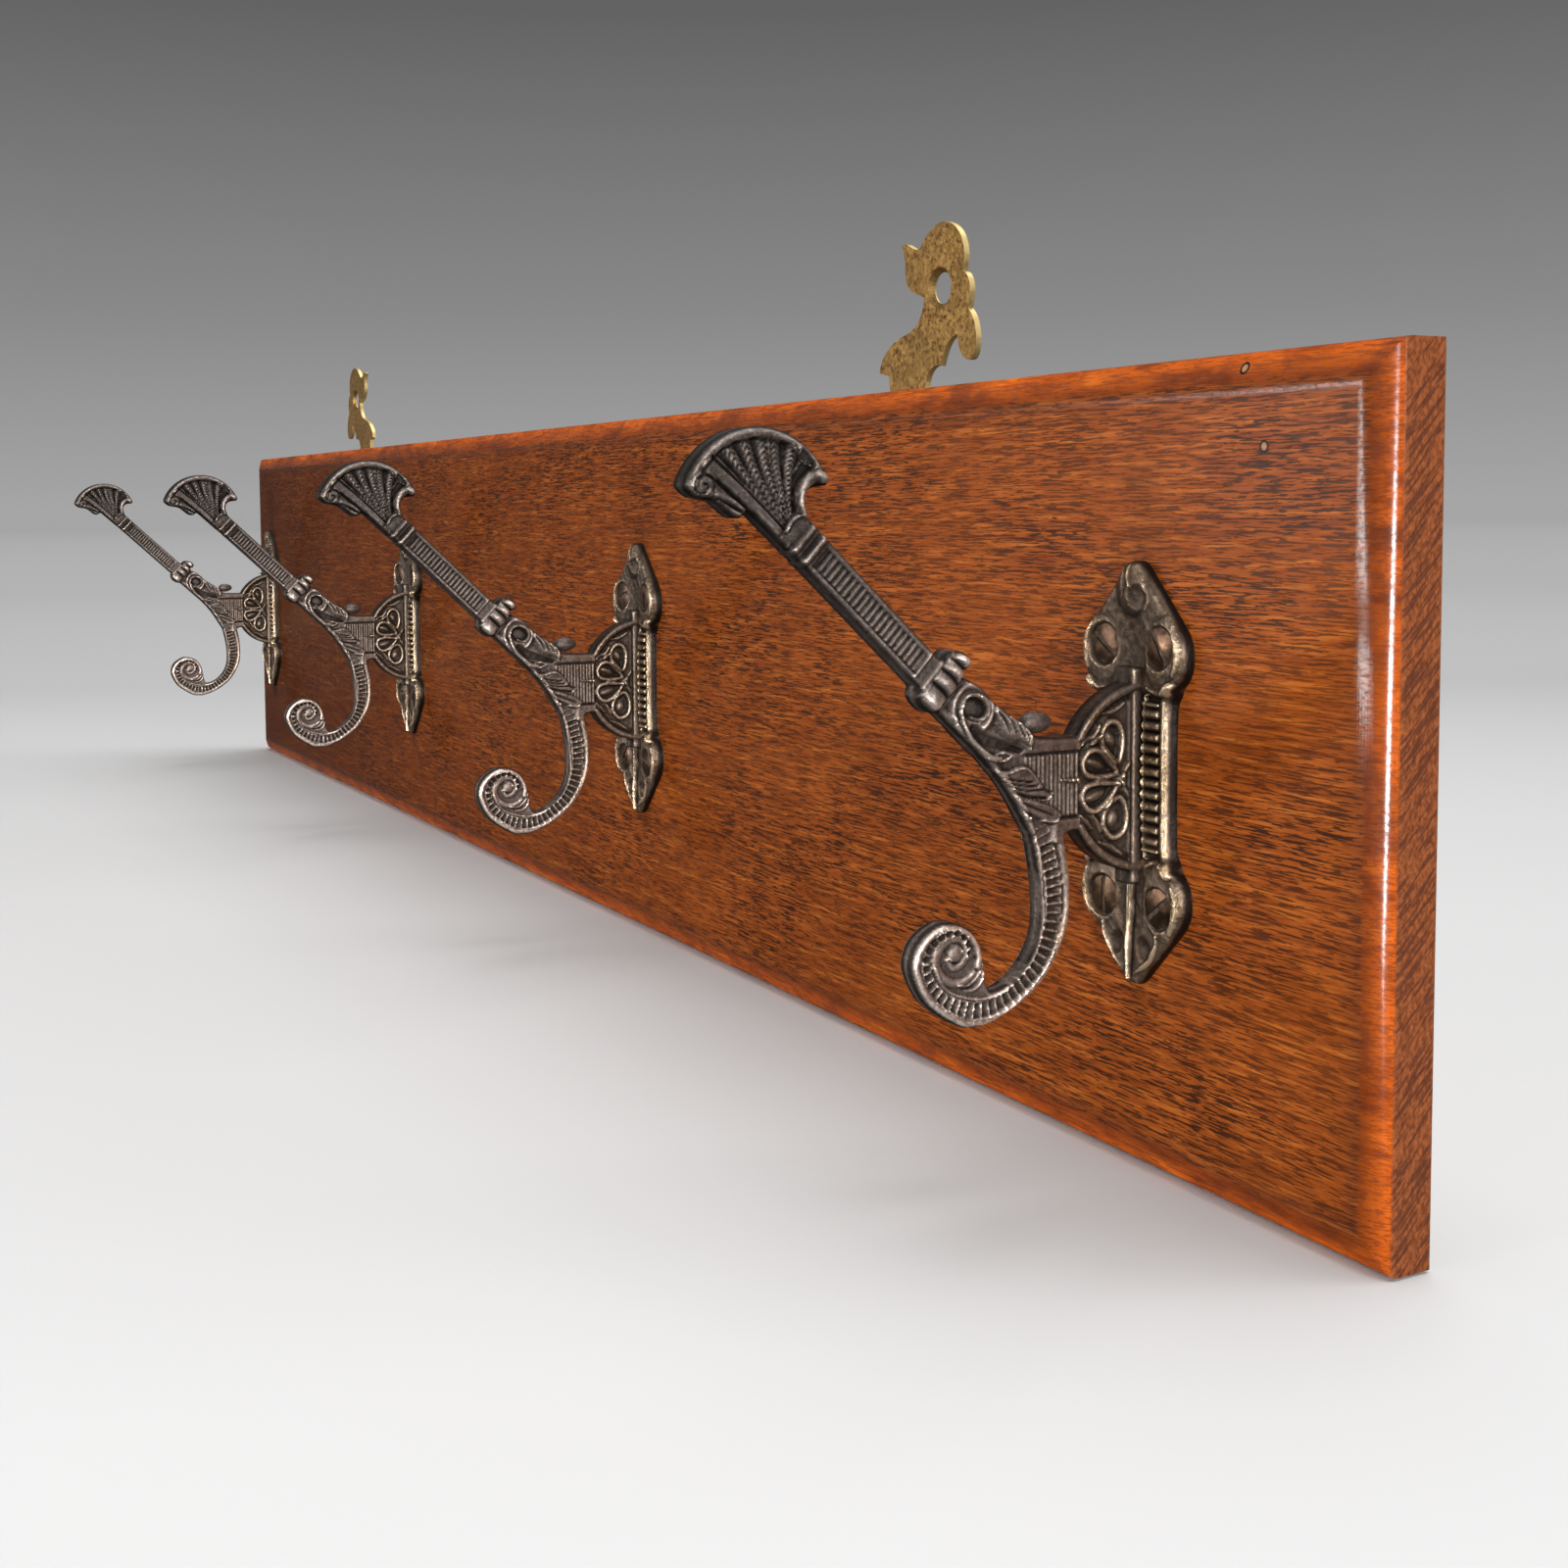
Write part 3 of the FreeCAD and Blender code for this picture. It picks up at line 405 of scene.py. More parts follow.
def curl_relief(P, depth):
    level = BODY - 0.75
    line = smooth(FLUTES)
    length = np.hypot(*(line[1:] - line[:-1]).T).sum()
    dist, along = nearest(P, line)
    half = np.interp(along, (0, 0.1, 0.5, 0.62, 0.78, 1), (1.5, 1.75, 1.75, 1.5, 0.85, 0.6))
    across = np.clip(dist / half, 0, 1)
    phase = (along * length / FLUTE_PITCH) % 1.0
    wall = np.abs(phase - 0.5) * 2
    groove = hump(wall / 0.82, 0.5) * (1 - across**3)
    level += np.where(across < 1, 0.35 - 0.75 * groove, 0)
    level += strokes(P, (
        (0.65, BORDER, (1.8, 1.7, 1.7, 1.6, 1.5, 1.4), 0.45),
        (0.55, INNER_LINE, (0.7, 0.6, 0.6, 0.6), 0.6),
        # scroll that winds into the eye
        (0.55, SCROLL, (1.0, 1.7, 2.1, 1.9, 1.8, 1.6, 1.2), 0.4),
        (-0.35, [(-43.9, -29.5), (-42.5, -30.1), (-41.3, -29.5), (-40.9, -28.2), (-41.5, -26.9),
                 (-43.0, -26.5), (-44.3, -27.2)], (0.4, 0.5, 0.4), 1),
        # stacked arcs at the volute's foot
        (0.4, [(-36.5, -30.2), (-37.0, -31.9), (-38.4, -33.6), (-40.2, -34.4), (-42.0, -34.0)],
         (0.5, 0.8, 0.4), 0.7),
        (0.4, [(-36.3, -32.4), (-37.0, -34.2), (-38.4, -35.2), (-40.2, -35.3)], (0.5, 0.8, 0.4), 0.7),
        (-0.3, [(-36.4, -31.4), (-37.2, -33.2), (-38.8, -34.6), (-41.0, -34.9)], (0.3, 0.5, 0.3), 1),
    ))
    level += 0.75 * bump(P, (-42.5, -28.5), (1.6, 1.6), power=0.4)
    return level - 0.6 * (1 - step_in(depth, 0.55))


LOOPS = [  # outer ring of each palmette loop
    [(-7.0, 2.9), (-9.0, 4.4), (-10.6, 6.4), (-10.5, 8.7), (-9.1, 10.2), (-7.3, 10.1), (-6.2, 8.4),
     (-6.0, 5.6)],
    [(-7.2, 1.0), (-9.2, 3.4), (-11.4, 5.3), (-13.7, 5.0), (-15.0, 3.2), (-14.4, 1.3), (-12.2, 0.4),
     (-9.4, 0.4)],
    [(-7.2, -1.4), (-9.3, -0.8), (-12.2, -0.7), (-14.5, -1.5), (-15.1, -3.4), (-13.8, -5.3), (-11.6, -5.7),
     (-9.3, -4.1)],
    [(-6.6, -3.6), (-8.7, -4.6), (-10.2, -6.6), (-10.1, -9.0), (-8.4, -10.8), (-6.3, -10.5), (-5.0, -8.6),
     (-5.2, -5.6)],
]
HEARTS = [
    ((-8.3, 7.0), (1.0, 1.6), 0.5), ((-11.7, 2.8), (2.3, 0.9), -0.35), ((-11.7, -3.1), (2.3, 0.9), 0.3),
    ((-7.7, -7.6), (1.0, 1.6), -0.4)]


def disc_relief(P, depth):
    from_web = np.hypot(*(P - WEB).T)
    level = BODY - 0.85
    off_neck = step_in(np.abs(P[:, 1] + 0.3) - 6.9, 0.9)
    level += 0.85 * off_neck * hump((from_web - WEB_RADIUS + 0.85) / 0.95, 0.45)
    level -= 0.15 * hump((from_web - WEB_RADIUS + 2.6) / 0.7)
    for loop in LOOPS:
        level += 0.75 * stroke(P, loop, (1.15, 1.25, 1.15), 0.5, closed=True)
        hollow = inside_depth(P, smooth(loop, closed=True))
        level -= 0.35 * step_in(hollow - 0.4, 0.6)
    for centre, radii, turn in HEARTS:
        level += 0.55 * bump(P, centre, radii, turn, 0.6)
    level += 0.85 * bump(P, (-6.3, -0.4), (1.3, 1.3))
    for leaf in (
        [(-4.4, 2.6), (-5.2, 1.2), (-6.2, 0.3)], [(-4.6, -3.6), (-5.4, -2.2), (-6.2, -1.0)],
        [(-15.3, 6.4), (-14.0, 7.4), (-12.3, 8.0), (-11.2, 9.8)],
        [(-15.4, -6.4), (-14.1, -7.4), (-12.8, -8.9)],
        [(-10.6, 11.9), (-8.2, 12.3), (-5.6, 13.6)], [(-10.9, -11.6), (-8.6, -12.6), (-6.0, -14.2)],
        [(-13.2, 6.4), (-12.0, 7.0), (-11.2, 8.0)], [(-12.6, -6.6), (-11.6, -8.0), (-10.9, -9.6)],
    ):
        level += 0.6 * stroke(P, leaf, (0.6, 1.3, 0.7), 0.6)
    return level - 0.25 * (1 - step_in(depth, 0.4))


def strip_relief(P, depth):
    y = P[:, 0]
    level = BODY - 0.3
    level -= 0.35 * hump((y + 4.05) / 0.3)
    level += 0.2 * hump(y + 2.9, 0.5)
    return level - 0.5 * (1 - step_in(depth, 0.5))


PARTS = (
    (SHELL, shell_relief), (BAR, bar_relief), (COLLAR, collar_relief), (SHOULDER, shoulder_relief),
    (CURL, curl_relief), (DISC, disc_relief), (STRIP, strip_relief))


def arm_depth(P):
    """Signed distance into the whole silhouette, and into each of its parts."""
    depths = [inside_depth(P, outline) for outline, _ in PARTS]
    return np.max(depths, axis=0), depths


def arm_height(P):
    """Half thickness of the casting at each point of the side plane."""
    whole, depths = arm_depth(P)
    level = np.zeros(len(P))
    for depth, (_, relief) in zip(depths, PARTS):
        near = depth > -0.05
        if not near.any():
            continue
        value = relief(P[near], np.maximum(whole[near], 0))
        level[near] = np.maximum(level[near], value)
    return np.maximum(level, 0.9)


# ---- backplate, x across and z up

PLATE_HALF = [
    (0.0, 39.3), (1.6, 39.1), (3.0, 38.0), (4.8, 36.0), (6.7, 34.0), (9.4, 31.0), (11.8, 28.4),
    (13.8, 25.8), (14.6, 23.0), (14.3, 20.0), (13.2, 17.8), (12.0, 16.6), (11.5, 15.2), (10.6, 13.6),
    (10.3, 11.0), (10.2, 5.0), (10.2, 0.0)]
right_side = PLATE_HALF + [(x, -z) for x, z in PLATE_HALF[-2::-1]]
PLATE = smooth(right_side + [(-x, z) for x, z in right_side[-2:0:-1]], closed=True)
SCREW_AT, SEAT_RADIUS, SEAT_HEIGHT = (7.7, 23.8), 3.8, 2.25


def plate_height(P):
    """Height of the backplate's front above the board."""
    depth = inside_depth(P, PLATE)
    x, z = P.T
    across, up = np.abs(x), np.abs(z)
    M = np.stack([across, z], 1)
    F = np.stack([across, up], 1)
    level = 2.35
    # lobes with a low lip outside the screw heads, and a shallow valley between them
    level += 0.75 * bump(F, (9.4, 22.4), (6.0, 7.2), power=0.6)
    level += 0.35 * stroke(
        F, [(11.3, 27.6), (12.6, 25.0), (12.9, 21.8), (12.0, 19.2)], (0.8, 1.8, 1.0), 0.6)
    level -= 0.45 * bump(F, (0.0, 22.0), (4.6, 9.0), power=0.7)
    from_screw = np.hypot(across - SCREW_AT[0], up - SCREW_AT[1])
    seat = 1 - step_in(from_screw - SEAT_RADIUS, 0.5)
    level = level * (1 - seat) + SEAT_HEIGHT * seat
    # waist: beaded ladder between a thin inner line and a raised rim that ends in balls
    waist = step_in(16.0 - up, 1.4)
    level -= 0.75 * waist
    ladder = waist * step_in(across - 3.5, 0.3) * step_in(8.0 - across, 0.3)
    level += 1.25 * ladder * ribs(z, 2.12, 0.7) * step_in(13.9 - up, 0.5)
    level += strokes(F, (
        (0.8, [(3.5, 0.0), (3.5, 13.4), (4.4, 15.0)], (0.8, 0.8, 0.4), 0.6),
        (1.05, [(9.0, 0.0), (9.0, 12.6), (9.8, 15.2), (11.2, 16.7)], (2.1, 2.1, 2.2), 0.35),
        (0.5, [(4.6, 16.4), (7.0, 15.2), (9.0, 15.6)], (0.6, 1.2, 0.8), 0.6),
    ))
    level += 0.55 * bump(F, (11.3, 16.3), (1.7, 1.6))
    # upper tip: a smooth hood with a crease, and a scooped dish on its right
    level += 1.1 * bump(M, (0.0, 34.6), (4.2, 5.4), power=0.7)
    level -= 0.4 * bump(P, (2.0, 32.9), (2.2, 2.5), -0.4, 0.7)
    level += strokes(P, (
        (-0.4, [(-1.4, 38.6), (-1.2, 35.6), (-1.6, 33.4)], (1.1, 1.5, 0.5), 0.8),
        (0.4, [(-0.1, 38.4), (0.0, 36.2), (0.5, 34.6)], (0.6, 0.9, 0.5), 0.7),
        (0.35, [(3.6, 35.0), (4.5, 32.6), (3.9, 30.6)], (0.5, 1.2, 0.5), 0.6),
    ))
    # lower tip: a keel that dies out at the point, with a small hollow facet on each side
    level += strokes(M, (
        (1.15, [(0.0, -17.0), (0.0, -26.0), (0.0, -33.0), (0.0, -38.2)], (2.4, 2.0, 1.4, 0.6), 1.3),
        (0.45, [(1.6, -36.8), (4.6, -34.6), (7.2, -31.2), (7.6, -28.8)], (0.4, 1.3, 0.6), 0.6),
    ))
    level -= 0.7 * bump(M, (3.9, -32.0), (1.9, 2.6), 0.5, 0.7)
    # casting roughness
    level += 0.05 * np.sin(1.9 * x + 0.7 * np.sin(1.3 * z)) * np.sin(1.7 * z + 1.1 * np.sin(0.9 * x))
    edge = 1 - np.clip(depth / 1.5, 0, 1)
    return np.maximum(level - 1.7 * (1 - np.sqrt(1 - edge**2)), 0.5)


# ---- height fields into meshes

# corners and pitch of the grid over each outline
ARM_GRID = ((-95.5, -43.0), (0.5, 63.6), 0.27)
PLATE_GRID = ((-15.2, -39.9), (15.2, 39.9), 0.3)


def clipped_grid(low, high, pitch, depth_of):
    """Points and faces of a square grid cut off cleanly where the depth falls to 0."""
    us, vs = (np.arange(a, b + pitch, pitch) for a, b in zip(low, high))
    nodes = np.stack(np.meshgrid(us, vs, indexing="ij"), -1)
    depth = depth_of(nodes.reshape(-1, 2)).reshape(nodes.shape[:2])
    solid = depth > 0
    index = np.full(solid.shape, -1)
    index[solid] = np.arange(solid.sum())
    points = [tuple(p) for p in nodes[solid]]
    corners = np.stack([solid[:-1, :-1], solid[1:, :-1], solid[1:, 1:], solid[:-1, 1:]], -1)
    full = corners.all(-1)
    i, j = np.nonzero(full)
    faces = np.stack([index[i, j], index[i + 1, j], index[i + 1, j + 1], index[i, j + 1]], 1).tolist()
    cuts, rims = {}, []

    def cut(a, b):
        key = (min(a, b), max(a, b))
        if key not in cuts:
            share = depth[a] / (depth[a] - depth[b])
            points.append(tuple(nodes[a] + share * (nodes[b] - nodes[a])))
            cuts[key] = len(points) - 1
        return cuts[key]

    for i, j in zip(*np.nonzero(corners.any(-1) & ~full)):
        ring = [(i, j), (i + 1, j), (i + 1, j + 1), (i, j + 1)]
        face, marks = [], []
        for a, b in zip(ring, ring[1:] + ring[:1]):
            if solid[a]:
                face.append(int(index[a]))
                marks.append(False)
            if solid[a] != solid[b]:
                face.append(cut(a, b))
                marks.append(True)
        faces.append(face)
        for k in range(len(face)):
            n = (k + 1) % len(face)
            if marks[k] and marks[n] and len(face) > 2:
                rims.append((face[k], face[n]))
    return np.array(points), faces, rims


def wear(points, faces, height):
    """How far each point stands above its surroundings, from hollow (below 0) to edge."""
    pairs = set()
    for face in faces:
        for a, b in zip(face, face[1:] + face[:1]):
            pairs.add((min(a, b), max(a, b)))
    a, b = np.array(list(pairs)).T
    degree = np.bincount(a, minlength=len(points)) + np.bincount(b, minlength=len(points))
    blurred, result = height.copy(), np.zeros(len(points))
    for turn in range(1, 37):
        total = np.bincount(a, blurred[b], len(points)) + np.bincount(b, blurred[a], len(points))
        blurred = 0.5 * blurred + 0.5 * total / np.maximum(degree, 1)
        if turn in (6, 36):
            result += height - blurred
    return result


def add_object(name, data):
    thing = bpy.data.objects.new(name, data)
    bpy.context.scene.collection.objects.link(thing)
    return thing


def add_mesh(name, points, faces, attributes):
    mesh = bpy.data.meshes.new(name)
    mesh.from_pydata(points, [], faces)
    mesh.update()
    mesh.shade_smooth()
    mesh.set_sharp_from_angle(angle=math.radians(52))
    for key, values in attributes.items():
        layer = mesh.attributes.new(key, "FLOAT", "POINT")
        layer.data.foreach_set("value", np.asarray(values, np.float32))
    return mesh


def arm_parts():
    """The arm: two mirrored faces and the wall between them."""
    points, faces, rims = clipped_grid(*ARM_GRID, lambda P: arm_depth(P)[0])
    height = arm_height(points)
    worn = wear(points, faces, height)
    n = len(points)
    near = np.column_stack([height, points])
    far = np.column_stack([-height, points])
    rim_points = sorted({a for rim in rims for a in rim})
    middle = {a: 2 * n + k for k, a in enumerate(rim_points)}
    belt = np.column_stack([np.zeros(len(rim_points)), points[rim_points]])
    all_faces = faces + [[a + n for a in reversed(face)] for face in faces]
    for a, b in rims:
        all_faces.append([a, middle[a], middle[b], b])
        all_faces.append([middle[a], a + n, b + n, middle[b]])
    values = np.concatenate([worn, worn, np.full(len(belt), 0.05)])
    everywhere = np.vstack([near, far, belt])
    return everywhere, all_faces, values, np.interp(everywhere[:, 1], (-30.0, -13.0), (0.0, 0.75))


def plate_parts():
    """The backplate: its relief, its rim down to the board, and a flat back."""
    points, faces, rims = clipped_grid(*PLATE_GRID, lambda P: inside_depth(P, PLATE))
    height = plate_height(points)
    worn = wear(points, faces, height)
    n = len(points)
    front = np.column_stack([points[:, 0], -height, points[:, 1]])
    follow = dict(rims)
    loop = [rims[0][0]]
    while follow[loop[-1]] != loop[0]:
        loop.append(follow[loop[-1]])
    foot = {a: n + k for k, a in enumerate(loop)}
    back = np.column_stack([points[loop, 0], np.zeros(len(loop)), points[loop, 1]])
    all_faces = list(faces) + [[a, foot[a], foot[follow[a]], follow[a]] for a in loop]
    all_faces.append([foot[a] for a in reversed(loop)])
    values = np.concatenate([worn, np.zeros(len(loop))])
    return np.vstack([front, back]), all_faces, values, np.ones(n + len(loop))


def bud_parts():
    """The small pointed bud behind the neck: an egg turned about its long axis."""
    turns, rows = 28, 22
    centre, long_radius, radius = np.array((0.0, -23.9, 10.9)), 3.2, 1.9
    points, faces = [], []
    for row in range(rows + 1):
        t = math.pi * row / rows
        reach = -long_radius * math.cos(t)
        girth = radius * math.sin(t) ** 0.85 * (1 + 0.14 * math.cos(t)) + 0.03
        for turn in range(turns):
            a = 2 * math.pi * turn / turns
            points.append(centre + (girth * math.cos(a), reach, girth * math.sin(a)))
    for row in range(rows):
        for turn in range(turns):
            a, b = row * turns + turn, row * turns + (turn + 1) % turns
            faces.append([a, b, b + turns, a + turns])
    faces.append(list(range(turns))[::-1])
    faces.append([rows * turns + turn for turn in range(turns)])
    return np.array(points), faces, np.full(len(points), 0.03), np.zeros(len(points))


def casting_mesh():
    points, faces, worn, patina = [], [], [], []
    for group in (arm_parts(), plate_parts(), bud_parts()):
        shift = sum(len(p) for p in points)
        points.append(group[0])
        faces += [[a + shift for a in face] for face in group[1]]
        worn.append(group[2])
        patina.append(group[3])
    return add_mesh("hook_casting", np.vstack(points) * MM, faces, {
        "worn": np.concatenate(worn), "patina": np.concatenate(patina)})


# ---- materials


def rgba(value):
    return (*value, 1.0) if isinstance(value, tuple) else value


class Shader:
    """The nodes of a material or a world; most calls add one node and return it."""

    def __init__(self, owner):
        self.owner = owner
        owner.use_nodes = True
        self.tree = owner.node_tree
        self.tree.nodes.clear()

    def add(self, kind, inputs=None, **settings):
        node = self.tree.nodes.new("ShaderNode" + kind)
        for key, value in settings.items():
            setattr(node, key, value)
        for key, value in (inputs or {}).items():
            if isinstance(value, bpy.types.NodeSocket):
                self.tree.links.new(value, node.inputs[key])
            else:
                node.inputs[key].default_value = value
        return node

    def coords(self, kind="Object"):
        return self.add("TexCoord").outputs[kind]

    def math(self, operation, a, b=0.0, c=0.0):
        return self.add("Math", {0: a, 1: b, 2: c}, operation=operation).outputs[0]

    def times(self, a, b):
        return self.math("MULTIPLY", a, b)

    def spread(self, value, *limits):
        """The span between two limits taken to 0 and 1, or to a second pair of limits."""
        return self.add("MapRange", dict(enumerate((value, *limits)))).outputs[0]

    def place(self, scale, turn=(0.0, 0.0, 0.0)):
        """Object coordinates stretched by scale, in cells per metre."""
        cell = tuple(1 / a for a in scale)
        inputs = {"Vector": self.coords(), "Scale": cell, "Rotation": turn}
        return self.add("Mapping", inputs, vector_type="TEXTURE").outputs[0]

    def noise(self, scale, detail=4.0, rough=0.55, turn=(0.0,) * 3, warp=0.0):
        inputs = {"Vector": self.place(scale, turn), "Scale": 1.0, "Detail": detail, "Roughness": rough,
                  "Distortion": warp}
        return self.add("TexNoise", inputs).outputs["Fac"]

    def ramp(self, value, stops, smooth=True):
        node = self.add("ValToRGB", {"Fac": value})
        node.color_ramp.interpolation = "EASE" if smooth else "LINEAR"
        elements = node.color_ramp.elements
        while len(elements) < len(stops):
            elements.new(0.5)
        for element, (place, colour) in zip(elements, stops):
            element.position = place
            element.color = rgba(colour if isinstance(colour, tuple) else (colour,) * 3)
        return node.outputs["Color"]

    def mix(self, share, a, b, blend="MIX"):
        inputs = {0: share, 6: rgba(a), 7: rgba(b)}
        return self.add("Mix", inputs, data_type="RGBA", blend_type=blend).outputs[2]

    def finish(self, bumps=(), **inputs):
        """Bumps are laid one over the other; the other inputs go to the surface by name."""
        surface = {key.replace("_", " ").title().replace("Ior", "IOR"): rgba(value)
                   for key, value in inputs.items()}
        for height, strength, distance in bumps:
            below = {"Normal": surface["Normal"]} if "Normal" in surface else {}
            inputs = {"Height": height, "Strength": strength, "Distance": distance, **below}
            surface["Normal"] = self.add("Bump", inputs).outputs[0]
        shader = self.add("BsdfPrincipled", surface)
        self.add("OutputMaterial", {"Surface": shader.outputs[0]})
        return self.owner


# two plugged pin holes near the board's top right corner, in metres across and up
PIN_HOLES, PIN_RADIUS = ((0.348, 0.0722), (0.3542, 0.0587)), 0.0011


def new_material(name):
    return Shader(bpy.data.materials.new(name))


def mahogany(half_length, half_height, run):
    s = new_material("varnished_mahogany")
    # soft blotches, long streaks and a faint cross figure
    cloud = s.noise((7.0, 9.0, 16.0), 3.0)
    streak = s.noise((16.0, 30.0, 230.0), 5.0, 0.6)
    fine = s.noise((60.0, 300.0, 1000.0), 4.0, 0.6)
    figure = s.noise((34.0, 14.0, 12.0), 3.0, 0.6, (0.0, 0.35, 0.0), 0.6)
    base = s.ramp(cloud, [
        (0.3, (0.17, 0.04, 0.007)), (0.55, (0.26, 0.066, 0.012)), (0.75, (0.33, 0.09, 0.018))])
    for share, grain, stops in (
        (0.5, streak, [(0.25, (0.13, 0.028, 0.005)), (0.55, (0.27, 0.068, 0.013)),
                       (0.8, (0.4, 0.12, 0.026))]),
        (0.3, figure, [(0.35, (0.13, 0.03, 0.006)), (0.7, (0.38, 0.11, 0.022))]),
        (0.55, fine, [(0.28, (0.09, 0.02, 0.004)), (0.5, (0.28, 0.072, 0.011)),
                      (0.72, (0.58, 0.2, 0.04))]),
    ):
        base = s.mix(share, base, s.ramp(grain, stops))
    # dark pores that run along the board, and pale flecks between them
    long_pores = s.noise((120.0, 900.0, 2200.0), 2.5, 0.55)
    short_pores = s.noise((260.0, 1300.0, 3400.0), 2.0, 0.5)
    dark = s.ramp(long_pores, [(0.42, 1.0), (0.46, 0.0)])
    dark = s.math("MAXIMUM", dark, s.times(s.ramp(short_pores, [(0.41, 1.0), (0.45, 0.0)]), 0.95))
    crowd = s.ramp(s.noise((20.0, 9.0, 40.0), 3.0), [(0.3, 0.55), (0.65, 1.0)])
    dark = s.times(dark, crowd)
    parts = s.add("SeparateXYZ", {0: s.coords()})
    x, y, z = parts.outputs
    # painted shade: the wood is darkened towards the left end, standing in for the light falling off along
    # the board; the same ramp also warms the colour
    painted_shade = s.ramp(s.spread(x, -half_length, half_length), [
        (0.0, (0.22, 0.17, 0.11)), (0.5, (0.62, 0.51, 0.32)), (0.85, (0.8, 0.68, 0.46)),
        (1.0, (0.86, 0.73, 0.5))], smooth=False)
    base = s.mix(1.0, base, painted_shade, "MULTIPLY")
    front = s.mix(s.times(dark, 0.94), base, (0.022, 0.007, 0.003))
    # bevels: thinner stain, brighter orange, hardly any pores
    across = s.math("SUBTRACT", s.math("ABSOLUTE", x), half_length - run)
    upward = s.math("SUBTRACT", s.math("ABSOLUTE", z), half_height - run)
    beyond = s.math("MAXIMUM", across, upward)
    ragged = s.times(s.math("SUBTRACT", s.noise((500.0, 500.0, 900.0), 4.0), 0.5), 0.0016)
    bevel = s.spread(s.math("ADD", beyond, ragged), -0.0001, 0.0006)
    orange = s.ramp(s.noise((60.0, 90.0, 260.0), 4.0, 0.6), [
        (0.3, (0.15, 0.026, 0.002)), (0.55, (0.3, 0.058, 0.004)), (0.8, (0.45, 0.105, 0.008))])
    outward = s.ramp(s.spread(beyond, 0.0005, run), [
        (0.0, (0.85, 0.8, 0.7)), (0.45, (1.15, 1.1, 0.9)), (0.8, (1.5, 1.4, 1.0))])
    orange = s.mix(1.0, orange, outward, "MULTIPLY")
    worn = s.noise((55.0,) * 3, 5.0, 0.65, (0.0, 0.0, 0.0), 0.4)
    orange = s.mix(s.ramp(worn, [(0.5, 0.0), (0.66, 0.6)]), orange, (0.11, 0.024, 0.008))
    orange = s.mix(s.times(dark, 0.6), orange, (0.08, 0.018, 0.006))
    colour = s.mix(bevel, front, orange)
    # a darker line along the face where it meets the bevel
    crease = s.math("ABSOLUTE", s.math("ADD", s.math("ADD", beyond, ragged), 0.0004))
    colour = s.mix(s.ramp(crease, [(0.0, 0.35), (0.0009, 0.0)], smooth=False), colour, (0.06, 0.014, 0.005))
    for across, rise in PIN_HOLES:
        offset = {0: s.math("SUBTRACT", x, across), 2: s.math("SUBTRACT", z, rise)}
        off = s.add("CombineXYZ", offset).outputs[0]
        away = s.add("VectorMath", {0: off}, operation="LENGTH").outputs["Value"]
        plug = s.ramp(s.times(away, 500.0), [
            (0.0, (0.33, 0.19, 0.1)), (0.3, (0.25, 0.13, 0.06)), (0.38, (0.01, 0.005, 0.003))])
        colour = s.mix(s.math("LESS_THAN", away, PIN_RADIUS), colour, plug)
    # sawn end grain, and the bare back
    ends = s.spread(s.math("ABSOLUTE", x), half_length - 0.0005, half_length - 0.0002)
    saw = s.noise((300.0, 140.0, 1500.0), 4.0, 0.6, (0.8, 0.0, 0.0), 0.2)
    grit = s.noise((700.0, 1500.0, 900.0), 4.0, 0.6)
    end_colour = s.mix(s.ramp(grit, [(0.3, 0.0), (0.7, 1.0)]), (0.11, 0.028, 0.008), (0.235, 0.068, 0.021))
    end_colour = s.mix(s.times(s.ramp(saw, [(0.42, 1.0), (0.52, 0.0)]), 0.75), end_colour,
                       (0.06, 0.018, 0.01))
    colour = s.mix(ends, colour, end_colour)
    back = s.spread(y, -0.0006, -0.0001)
    bare = s.mix(0.5, s.ramp(streak, [(0.3, (0.15, 0.06, 0.026)), (0.7, (0.27, 0.12, 0.055))]),
                 (0.19, 0.08, 0.035))
    bare = s.mix(s.times(dark, 0.5), bare, (0.05, 0.02, 0.01))
    colour = s.mix(back, colour, bare)
    raw = s.math("MAXIMUM", ends, back)
    gritty = s.noise((900.0, 900.0, 1300.0), 4.0, 0.7)
    rough = s.spread(gritty, 0.3, 0.7, 0.24, 0.46)
    rough = s.math("MAXIMUM", rough, s.times(raw, 0.72))
    gloss = s.spread(beyond, -0.0022, -0.0006, 0.03, 0.8)
    dull = s.spread(beyond, run - 0.0016, run - 0.0004)
    gloss = s.times(gloss, s.math("SUBTRACT", 1.0, s.times(dull, 0.8)))
    gloss = s.times(gloss, s.ramp(gritty, [(0.38, 0.25), (0.56, 1.0)]))
    coat = s.times(gloss, s.math("SUBTRACT", 1.0, raw))
    return s.finish(
        [(s.math("SUBTRACT", 1.0, dark), 0.35, 0.0002), (gritty, 0.22, 0.0002),
         (s.times(saw, ends), 0.5, 0.0003)],
        base_color=colour, roughness=rough, specular_ior_level=0.08, coat_weight=coat, coat_roughness=0.16)


